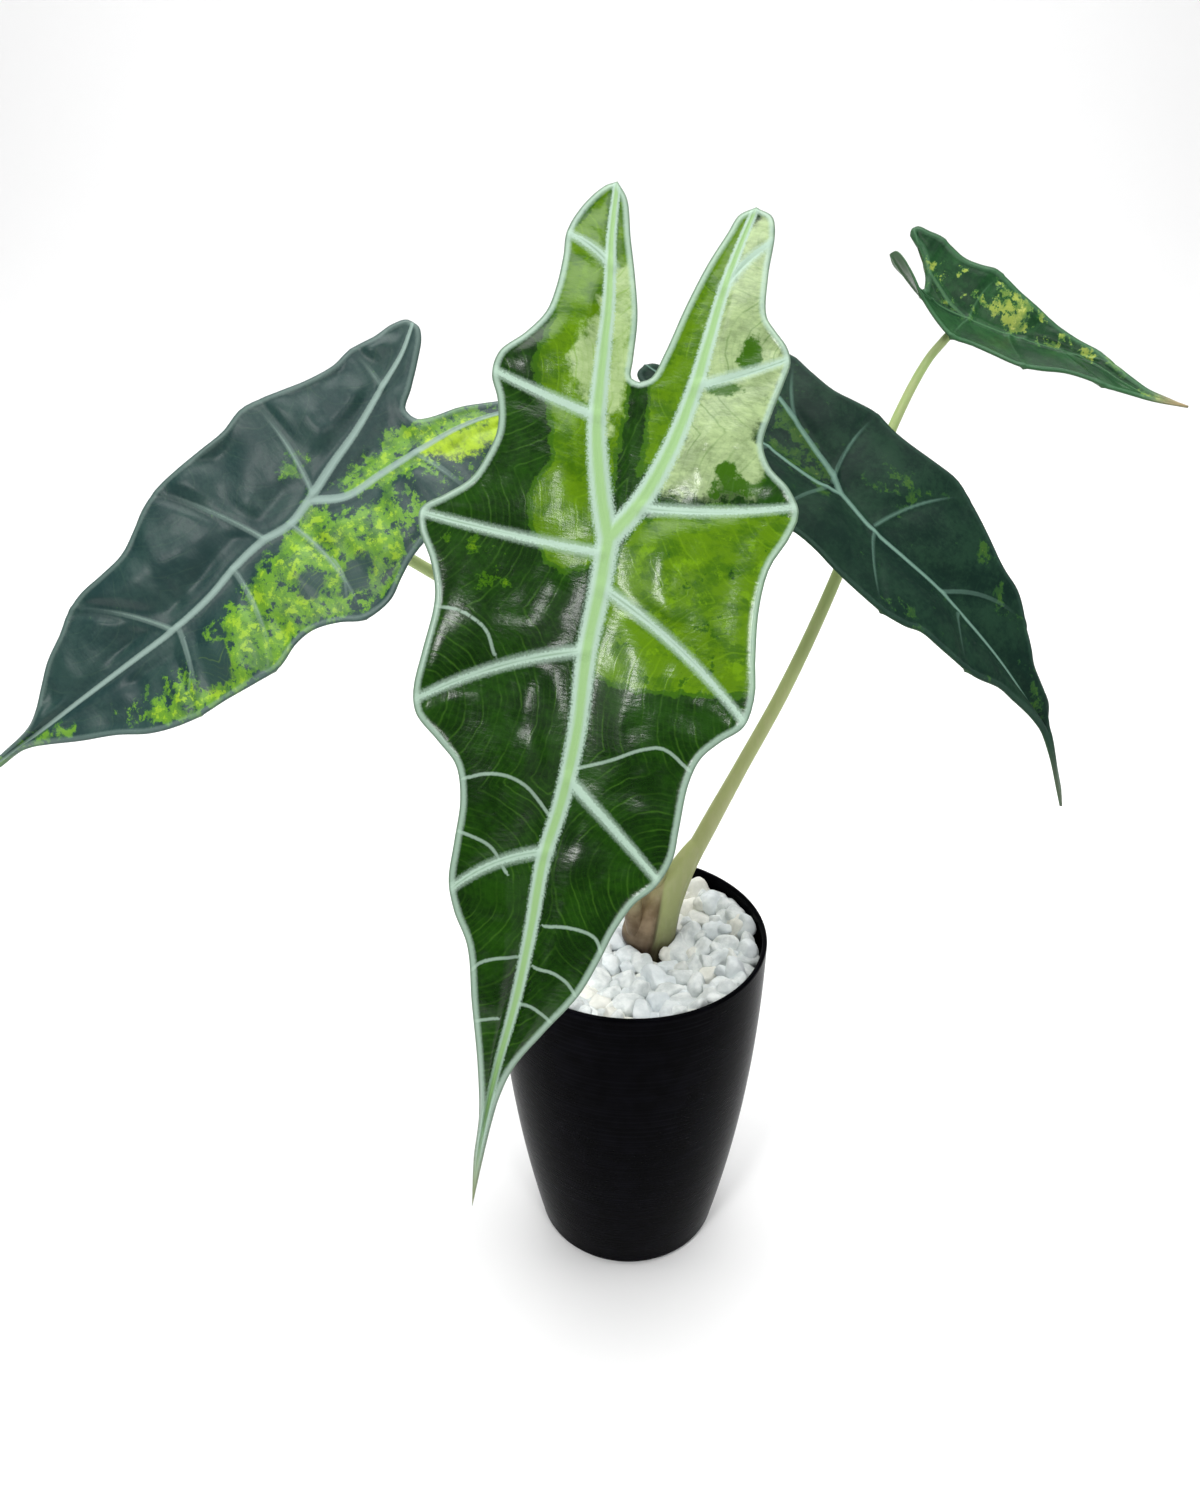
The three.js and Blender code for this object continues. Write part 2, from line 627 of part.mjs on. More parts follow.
// One half of a leaf: rows from the midrib and the lobe's rib out to the margin
class Half {
  constructor(sheet, side) {
    this.sheet = sheet;
    this.side = side;
    const shape = sheet.leaf[side];
    const midrib = [...sheet.midrib].reverse();
    this.axis = new Line([...midrib, ...curved(shape.costa).slice(1)]);
    this.margin = new Line(curved(shape.outer));
    this.inner = new Line(curved(shape.inner));
    this.junctionAt = new Line(midrib).total;
    this.crests = [];
    this.flanks = [];
    this.knots = [{ at: 0, edge: 0, arch: 0 }];
    for (const vein of shape.veins) {
      const at = this.axis.nearest(new THREE.Vector3(...vein.from, 0));
      const edge = this.margin.nearest(new THREE.Vector3(...vein.to, 0));
      this.crests.push(at);
      for (const step of [-VEIN_FLANK, 0, VEIN_FLANK]) {
        if (step !== 0) this.flanks.push(at + step);
        this.knots.push({ at: at + step, edge: edge + step, arch: vein.arch });
      }
    }
    this.knots.push({ at: this.axis.total, edge: this.margin.total, arch: 0 });
  }

  ribHalf(at) {
    const [tip, junction, lobe] = this.sheet.leaf.ribHalf;
    if (at < this.junctionAt) return mix(tip, junction, at / this.junctionAt);
    const share = (at - this.junctionAt) / (this.axis.total - this.junctionAt);
    return mix(junction, lobe, share);
  }

  isCrest(at) {
    return this.crests.some((crest) => Math.abs(crest - at) < 1e-6);
  }

  // Quilting between the veins, and a light wave along the edge
  pucker(at, share) {
    const stops = [0, ...this.crests, this.axis.total];
    let i = 1;
    while (i < stops.length - 1 && stops[i] < at) i++;
    const phase = (at - stops[i - 1]) / (stops[i] - stops[i - 1]);
    const room = smooth(Math.min(at, this.axis.total - at) / 35);
    const swell = Math.max(4 * phase * (1 - phase), 0) ** 0.6;
    const across = smooth(share / 0.4) * (1 - 0.55 * smooth((share - 0.6) / 0.4));
    return this.sheet.leaf.swell * room * swell * across;
  }

  row(at) {
    let i = 1;
    while (i < this.knots.length - 1 && this.knots[i].at < at) i++;
    const before = this.knots[i - 1];
    const after = this.knots[i];
    const share = (at - before.at) / (after.at - before.at);
    const from = this.axis.at(at);
    const edge = mix(before.edge, after.edge, share);
    const to = this.margin.at(i === 1 ? mix(at, edge, share) : edge);
    const way = to.clone().sub(from);
    const length = Math.max(way.length(), 1e-6);
    const sag = new THREE.Vector3(-way.y, way.x, 0).divideScalar(length);
    if (sag.y < 0) sag.negate();
    const arch = mix(before.arch, after.arch, share);
    const control = from.clone().lerp(to, 0.5).addScaledVector(sag, 2 * arch);
    const path = new THREE.QuadraticBezierCurve3(from, control, to);
    const first = Math.min(this.ribHalf(at) / length, 0.3);
    const last = Math.max(1 - EDGE_BAND / length, 0.75);
    const shares = [0, first, ...this.sheet.leaf.columns.map((part) => mix(first, last, part)), last, 1];
    const crest = this.isCrest(at);
    const ribSize = this.ribHalf(at) / this.sheet.leaf.ribHalf[1];
    return shares.map((part, column) => {
      const point = path.getPoint(part);
      const vein = crest && column < shares.length - 1 ? 1 - 0.5 * part : 0;
      const rib = column === 0 ? ribSize : 0;
      return {
        point,
        wave: this.pucker(at, part),
        over: Math.max(VEIN_TOP * vein, MIDRIB_TOP * rib),
        under: Math.max(VEIN_UNDER * vein, MIDRIB_UNDER * rib * rib),
      };
    });
  }
}

function stationsBetween(from, to, crests, flanks) {
  const kept = [from, to, ...crests.filter((at) => at > from && at < to)];
  for (const at of flanks) {
    const clear = kept.every((other) => Math.abs(other - at) > ROW_MIN_GAP);
    if (at > from && at < to && clear) kept.push(at);
  }
  kept.sort((a, b) => a - b);
  const stations = [];
  for (let i = 0; i + 1 < kept.length; i++) {
    const steps = Math.ceil((kept[i + 1] - kept[i]) / ROW_SPACING);
    for (let s = 0; s < steps; s++) stations.push(mix(kept[i], kept[i + 1], s / steps));
  }
  stations.push(to);
  return stations;
}

// A flat triangulation whose points carry their lifts, closed into a thin blade
class Blade {
  constructor(sheet) {
    this.sheet = sheet;
    this.keys = new Map();
    this.vertices = [];
    this.triangles = [];
  }

  add({ point, wave = 0, over = 0, under = 0 }) {
    const key = `${Math.round(point.x * 50)},${Math.round(point.y * 50)}`;
    if (!this.keys.has(key)) {
      this.keys.set(key, this.vertices.length);
      this.vertices.push({ x: point.x, y: point.y, wave, over, under });
    }
    return this.keys.get(key);
  }

  triangle(a, b, c, flip) {
    if (a === b || b === c || c === a) return;
    this.triangles.push(flip ? [a, c, b] : [a, b, c]);
  }

  strip(rows, flip) {
    for (let r = 0; r + 1 < rows.length; r++) {
      for (let c = 0; c + 1 < rows[r].length; c++) {
        const [a, b] = [rows[r][c], rows[r][c + 1]];
        const [d, e] = [rows[r + 1][c], rows[r + 1][c + 1]];
        this.triangle(a, b, e, flip);
        this.triangle(a, e, d, flip);
      }
    }
  }

  area(a, b, c) {
    const [p, q, r] = [a, b, c].map((i) => this.vertices[i]);
    return (q.x - p.x) * (r.y - p.y) - (r.x - p.x) * (q.y - p.y);
  }

  gap(a, b) {
    return Math.hypot(this.vertices[a].x - this.vertices[b].x, this.vertices[a].y - this.vertices[b].y);
  }

  // Triangles between two lines that share both ends
  zip(near, far, flip) {
    const turn = flip ? -1 : 1;
    let i = 0;
    let j = 0;
    while (i < near.length - 1 || j < far.length - 1) {
      const canNear = i < near.length - 1;
      const canFar = j < far.length - 1;
      let stepNear = canNear;
      if (canNear && canFar) {
        const nearArea = turn * this.area(near[i], far[j], near[i + 1]);
        const farArea = turn * this.area(near[i], far[j], far[j + 1]);
        stepNear = this.gap(near[i + 1], far[j]) <= this.gap(near[i], far[j + 1]);
        if (nearArea <= 0 && farArea > 0) stepNear = false;
        if (farArea <= 0 && nearArea > 0) stepNear = true;
      }
      if (stepNear) {
        this.triangle(near[i], far[j], near[i + 1], flip);
        i += 1;
      } else {
        this.triangle(near[i], far[j], far[j + 1], flip);
        j += 1;
      }
    }
  }

  geometry() {
    const count = this.vertices.length;
    const half = BLADE_THICKNESS / 2;
    const top = this.vertices.map((v) => this.sheet.point(v.x, v.y, v.wave + half + v.over));
    const under = this.vertices.map((v) => this.sheet.point(v.x, v.y, v.wave - half - v.under));
    const indices = [];
    const edges = new Map();
    for (const [a, b, c] of this.triangles) {
      indices.push(a, b, c, a + count, c + count, b + count);
      for (const [from, to] of [[a, b], [b, c], [c, a]]) edges.set(`${from},${to}`, [from, to]);
    }
    for (const [from, to] of edges.values()) {
      if (edges.has(`${to},${from}`)) continue;
      indices.push(to, from, from + count, to, from + count, to + count);
    }
    const geometry = new THREE.BufferGeometry();
    const positions = [...top, ...under].flatMap((point) => [point.x, point.y, point.z]);
    geometry.setAttribute('position', new THREE.Float32BufferAttribute(positions, 3));
    geometry.setIndex(indices);
    return geometry;
  }
}

function makeLeaf(leaf) {
  const sheet = new Sheet(leaf);
  const blade = new Blade(sheet);
  const halves = ['left', 'right'].map((side) => new Half(sheet, side));
  const junctionAt = halves[0].junctionAt;
  const crests = halves.flatMap((half) => half.crests);
  const flanks = halves.flatMap((half) => half.flanks);
  const midribStations = stationsBetween(0, junctionAt, crests, flanks);
  const [notchX, notchY] = leaf.sinus;
  const centreSteps = Math.ceil(notchY / ROW_SPACING);
  for (const half of halves) {
    const isLeft = half.side === 'left';
    const lobeStations = stationsBetween(junctionAt, half.axis.total, half.crests, half.flanks);
    const stations = [...midribStations, ...lobeStations.slice(1)];
    const rows = stations.map((at) => half.row(at).map((entry) => blade.add(entry)));
    blade.strip(rows, isLeft);
    const far = [];
    for (let i = 0; i <= centreSteps; i++) {
      const share = i / centreSteps;
      const point = new THREE.Vector3(notchX * share, notchY * share, 0);
      far.push({ point, over: i === 0 ? MIDRIB_TOP : 0, under: i === 0 ? MIDRIB_UNDER : 0 });
    }
    const innerSteps = Math.ceil(half.inner.total / ROW_SPACING);
    for (let i = 1; i <= innerSteps; i++) {
      far.push({ point: half.inner.at(half.inner.total * i / innerSteps) });
    }
    const farLine = new Line(far.map((entry) => entry.point));
    const near = lobeStations.map((at) => {
      const rib = half.axis.at(at);
      const target = farLine.closest(rib);
      const reach = Math.min(half.ribHalf(at), 0.42 * target.distanceTo(rib));
      const step = target.clone().sub(rib).setLength(reach || 1e-9);
      return rib.clone().add(step);
    });
    const ribIndices = lobeStations.map((at, i) => rows[rows.length - lobeStations.length + i][0]);
    const nearIndices = near.map((point, i) => {
      const isEnd = i === 0 || i === near.length - 1;
      return isEnd ? ribIndices[i] : blade.add({ point });
    });
    const farIndices = far.map((entry) => blade.add(entry));
    farIndices[farIndices.length - 1] = ribIndices[ribIndices.length - 1];
    blade.strip(ribIndices.map((index, i) => [index, nearIndices[i]]), !isLeft);
    blade.zip(nearIndices, farIndices, !isLeft);
  }
  return blade;
}

// Stalks and the sheath at their foot, grown as one piece
function sheathRings(grow, highest) {
  return SHEATH.filter((ring) => ring[2] <= highest).map(([x, y, z, across, deep]) => (
    Array.from({ length: SHEATH_SIDES }, (_, s) => {
      const angle = 2 * Math.PI * s / SHEATH_SIDES;
      const outX = (across + grow) * Math.cos(angle);
      return new THREE.Vector3(x + outX, y + (deep + grow) * Math.sin(angle), z);
    })
  ));
}

function stalkRings(points, sheet) {
  const curve = new THREE.CatmullRomCurve3(
    points.map(([x, y, z]) => new THREE.Vector3(x, y, z)), false, 'centripetal',
  );
  const facing = sheet.normal(0, 0);
  const depth = BLADE_THICKNESS / 2 + MIDRIB_UNDER + FIT_GAP;
  const seat = sheet.junction.clone().addScaledVector(facing, -depth);
  const steps = (points.length - 1) * STALK_STEPS;
  const centres = curve.getPoints(steps);
  const radii = centres.map((_, i) => {
    const place = Math.min(i / STALK_STEPS, points.length - 1.001);
    const before = Math.floor(place);
    return mix(points[before][3], points[before + 1][3], place - before);
  });
  centres.push(seat.clone());
  radii.push(radii[radii.length - 1]);
  let sideways = new THREE.Vector3(1, 0, 0);
  return centres.map((centre, i) => {
    const before = centres[Math.max(i - 1, 0)];
    const after = centres[Math.min(i + 1, centres.length - 1)];
    const way = after.clone().sub(before).normalize();
    sideways = sideways.clone().addScaledVector(way, -sideways.dot(way)).normalize();
    const forward = new THREE.Vector3().crossVectors(way, sideways);
    return Array.from({ length: STALK_SIDES }, (_, s) => {
      const angle = 2 * Math.PI * s / STALK_SIDES;
      const point = centre.clone()
        .addScaledVector(sideways, radii[i] * Math.cos(angle))
        .addScaledVector(forward, radii[i] * Math.sin(angle));
      if (i < centres.length - 1) return point;
      const short = seat.clone().sub(point).dot(facing) / way.dot(facing);
      return point.addScaledVector(way, short);
    });
  });
}

function makeStalks() {
  let solid = solidFrom(skinned(sheathRings(0, Infinity)));
  for (const [name, points] of Object.entries(STALKS)) {
    const stalk = skinned(stalkRings(points, new Sheet(LEAVES[name])));
    solid = solid.add(solidFrom(stalk));
  }
  return geometryFrom(solid);
}

// Assembly
function makeNode(name, geometry, color, roughness) {
  const material = new THREE.MeshStandardMaterial({ color, roughness, metalness: 0 });
  const mesh = new THREE.Mesh(geometry, material);
  mesh.name = name;
  return mesh;
}

const plant = new THREE.Group();
plant.name = 'potted_kris_plant';
plant.add(makeNode('pot', makePot(), COLOURS.pot, 0.4));
plant.add(makeNode('potting_soil', makeSoil(), COLOURS.soil, 0.95));
plant.add(makeNode('white_pebbles', makePebbles(), COLOURS.pebbles, 0.7));
plant.add(makeNode('stalks', makeStalks(), COLOURS.stalks, 0.5));
plant.add(makeNode('leaf_front', makeLeaf(LEAVES.front).geometry(), COLOURS.frontLeaf, 0.35));
plant.add(makeNode('leaf_left', makeLeaf(LEAVES.left).geometry(), COLOURS.leftLeaf, 0.35));
plant.add(makeNode('leaf_right', makeLeaf(LEAVES.right).geometry(), COLOURS.rightLeaf, 0.35));
plant.add(makeNode('leaf_upper', makeLeaf(LEAVES.upper).geometry(), COLOURS.upperLeaf, 0.4));

export default plant;
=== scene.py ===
# Variegated kris plant in a black pot topped with white pebbles: the looks of every visible surface
import math

import bmesh
import bpy
import numpy as np
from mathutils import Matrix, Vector, kdtree
from mathutils.geometry import delaunay_2d_cdt


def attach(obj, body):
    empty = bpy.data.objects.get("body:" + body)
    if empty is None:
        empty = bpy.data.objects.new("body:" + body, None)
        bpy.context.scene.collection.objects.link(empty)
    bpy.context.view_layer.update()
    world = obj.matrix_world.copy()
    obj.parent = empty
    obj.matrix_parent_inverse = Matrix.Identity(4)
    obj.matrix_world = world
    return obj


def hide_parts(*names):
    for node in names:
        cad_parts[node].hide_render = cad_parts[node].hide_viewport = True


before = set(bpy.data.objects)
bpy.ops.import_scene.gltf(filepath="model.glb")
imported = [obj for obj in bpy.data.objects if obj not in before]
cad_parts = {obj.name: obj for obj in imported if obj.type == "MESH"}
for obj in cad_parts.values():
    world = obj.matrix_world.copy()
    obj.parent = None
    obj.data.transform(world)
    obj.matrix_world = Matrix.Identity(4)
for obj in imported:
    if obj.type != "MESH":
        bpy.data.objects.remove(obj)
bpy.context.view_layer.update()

MM = 0.001
BODY = "root"
FIT_GAP = 0.3

# Pot, in millimetres as all lengths here unless a comment says metres
POT_HEIGHT = 124
RIM_RADIUS = 45
BASE_RADIUS = 31.6
POT_WALL = 1.6
POT_FLOOR = 3
FOOT_ROUNDING = 3
FOOT_SPREAD = 0.6
WALL_START = 8
WALL_END = POT_HEIGHT - 1.2
INSIDE_START = POT_HEIGHT - 1.4
INSIDE_ROUNDING = 2
LIP_RISE = 0.8
POT_SIDES = 160
HUB_RADIUS = 26
DRAIN_HOLES = 5
DRAIN_RADIUS = 2.5
DRAIN_RING_RADIUS = 18
DRAIN_SIDES = 32

# Pebbles: the upper layer is on the same grid and draw as the solids
SOIL_TOP = 106
PEBBLE_PITCH = 8.7
PEBBLE_RADIUS = (4.2, 5)
PEBBLE_JITTER = (1.6, 1.6, 2.2)
PEBBLE_SHIFT = (-1.4, 1.1)
PEBBLE_RING_LIMIT = 38.6
PEBBLE_OVERSHOOT = 3.5
PEBBLE_EDGE_PLAY = 0.6
PEBBLE_CENTRE_HEIGHT = 112.2
PEBBLE_RISE = 5.2
PEBBLE_SEED = 20
SIZE_DRAWS = 3
CORNER_DRAWS = 32
STONE_FREE_RADIUS = 7.5
STEM_CLEARANCE = 0.5
LOWER_STEP = (4.3, 2.6, -4.6)
LOWER_SCALE = 0.92
SMALL_STEP = (-4.4, -1.8, 0.6)
SMALL_RADIUS = 2.6
ADDED_LIMIT = 38
RIM_STONES = 36
RIM_STONE_RING = 39.2
RIM_STONE_HEIGHT = 118.2
RIM_STONE_WAVE = 1.4
RIM_STONE_RADIUS = 3.6

# The shape of one stone, on a ball of radius 1
STONE_FLATS = 11
FLAT_DEPTH = (0.62, 0.98)
STONE_REACH = 1.12
EDGE_SHARPNESS = 34
SKIN_WAVES = (2.5, 4, 7, 11, 17, 25)
SKIN_DEPTH = 0.09
STONE_STRETCH = ((1, 0.88, 0.76), (1.3, 1.08, 0.95))
STONE_SWELL = 1.06

# Leaf blades
BLADE_THICKNESS = 0.8
EDGE_THICKNESS = 0.45
EDGE_BAND = 1.6
GRID_STEP = 1
RIB_STEPS = 6
RIM_STEPS = 5
VEIN_FLANK = 1.6
VEIN_HALF = (1.75, 1.15)
WIDEST_RIB = 3.2
MIDRIB_TOP = 0.5
MIDRIB_UNDER = 1.5
VEIN_TOP = 0.35
VEIN_UNDER = 0.42
GROOVE_DEPTH = 0.16
ROLL_HEIGHT = 0.25
ARC_PITCH = 4
ARC_DEPTH = 0.015
FINE_WRINKLE = 0.1
FAR = 60

# Stem sheath: centre x, centre y, height, half width across, half width front to back
STEM_CENTRE = (7, 6.5)
STEM_RADIUS = 6.2
STEM_FOOT = 84
SHEATH_SIDES = 80
SHEATH_FOLD = 0.035
SHEATH = (
    (*STEM_CENTRE, STEM_FOOT, STEM_RADIUS - 1, STEM_RADIUS - 1),
    (*STEM_CENTRE, STEM_FOOT + 3, STEM_RADIUS, STEM_RADIUS),
    (*STEM_CENTRE, SOIL_TOP + 1, STEM_RADIUS, STEM_RADIUS),
    (6.9, 6.6, 112, 7.2, 6.4),
    (6.3, 6.9, 118, 9, 7.4),
    (7.4, 7.6, 124, 8.6, 6.8),
    (9.6, 8.8, 130, 7.4, 6),
    (13.2, 10.6, 136, 5.8, 5),
    (16.9, 12.2, 141, 4.4, 4.2),
    (20.4, 13.9, 147, 3.1, 3.1),
    (23.4, 15.1, 151.5, 2, 2),
)

# The crease in the sheath, where the tallest stalk leaves it: x at a height, and how it leans
CREASE_X = 7.2
CREASE_HEIGHT = 116
CREASE_LEAN = 0.18
CREASE_TOP = 138
CREASE_DEPTH = 1.5
CREASE_WIDTH = 1.1

# Leaf stalks: x, y, height, radius along each centre line, up to the underside of the blade
STALK_SIDES = 28
STALKS = {
    "front": (
        (2.6, 4.8, 115, 3), (1, 4, 126, 3), (0.4, 0.5, 145, 2.8), (0.2, -5, 170, 2.6),
        (0, -13, 200, 2.5), (-1.6, -25, 228, 2.4), (-4.6, -38, 252, 2.3), (-6.8, -48, 266, 2.2),
    ),
    "left": (
        (4.2, 9, 114, 2.8), (3, 10.4, 126, 2.7), (-0.5, 15, 155, 2.5), (-12, 20.5, 190, 2.3),
        (-35, 24.5, 221, 2.1), (-64, 22, 243, 1.9), (-80, 14, 256, 1.8),
    ),
    "right": (
        (8, 9.5, 112, 2.8), (8.5, 9.5, 124, 2.7), (9.2, 9.8, 136, 2.6), (10, 10, 147, 2.5),
        (11.5, 9.8, 160, 2.4), (14, 9.8, 175, 2.3), (18, 10.6, 195, 2.3), (26, 13, 220, 2.1),
        (33, 15.5, 240, 2), (41, 17, 254, 1.9), (49.5, 16.5, 261.5, 1.8),
    ),
    "upper": (
        (12.1, 8.7, 115, 3.2), (12.6, 9, 119, 3.4), (14.1, 10.2, 127, 3.3), (18.6, 12.9, 140, 3.1),
        (25.9, 16.2, 155, 2.9), (35.5, 20, 174, 2.4), (49.3, 25.4, 201.5, 2.2),
        (63.9, 32.5, 237, 1.9), (77.9, 41.1, 280.4, 1.5), (86.6, 44.7, 298.6, 1.3), (91.6, 46, 304.8, 1.3),
    ),
}

# Camera, from the photograph's perspective, in metres and degrees
CAMERA_PLACE = (-0.01025, -0.3229, 0.3653)
CAMERA_PITCH = 28.24
CAMERA_LENS = 28.8

# Soft studio light: a name, its place, the point it faces, its width and its power, in metres and watts
LIGHTS = (
    ("key", (-0.5, -0.98, 1.08), (0, -0.05, 0.26), 0.24, 6.5),
    ("glint", (0.42, -1.1, 1), (0, -0.05, 0.26), 0.2, 3.5),
    ("side", (-0.85, -0.95, 1), (-0.1, 0, 0.24), 0.8, 2),
    ("fill", (0.8, -1.4, 0.6), (0.05, 0, 0.2), 0.9, 1),
    ("top", (0.1, 0.3, 1.7), (0, 0, 0.15), 1.6, 16),
    ("backdrop", (0, 0.6, 2.6), (0, 2.4, 0.8), 3, 76),
)
WORLD_STRENGTH = 0.12

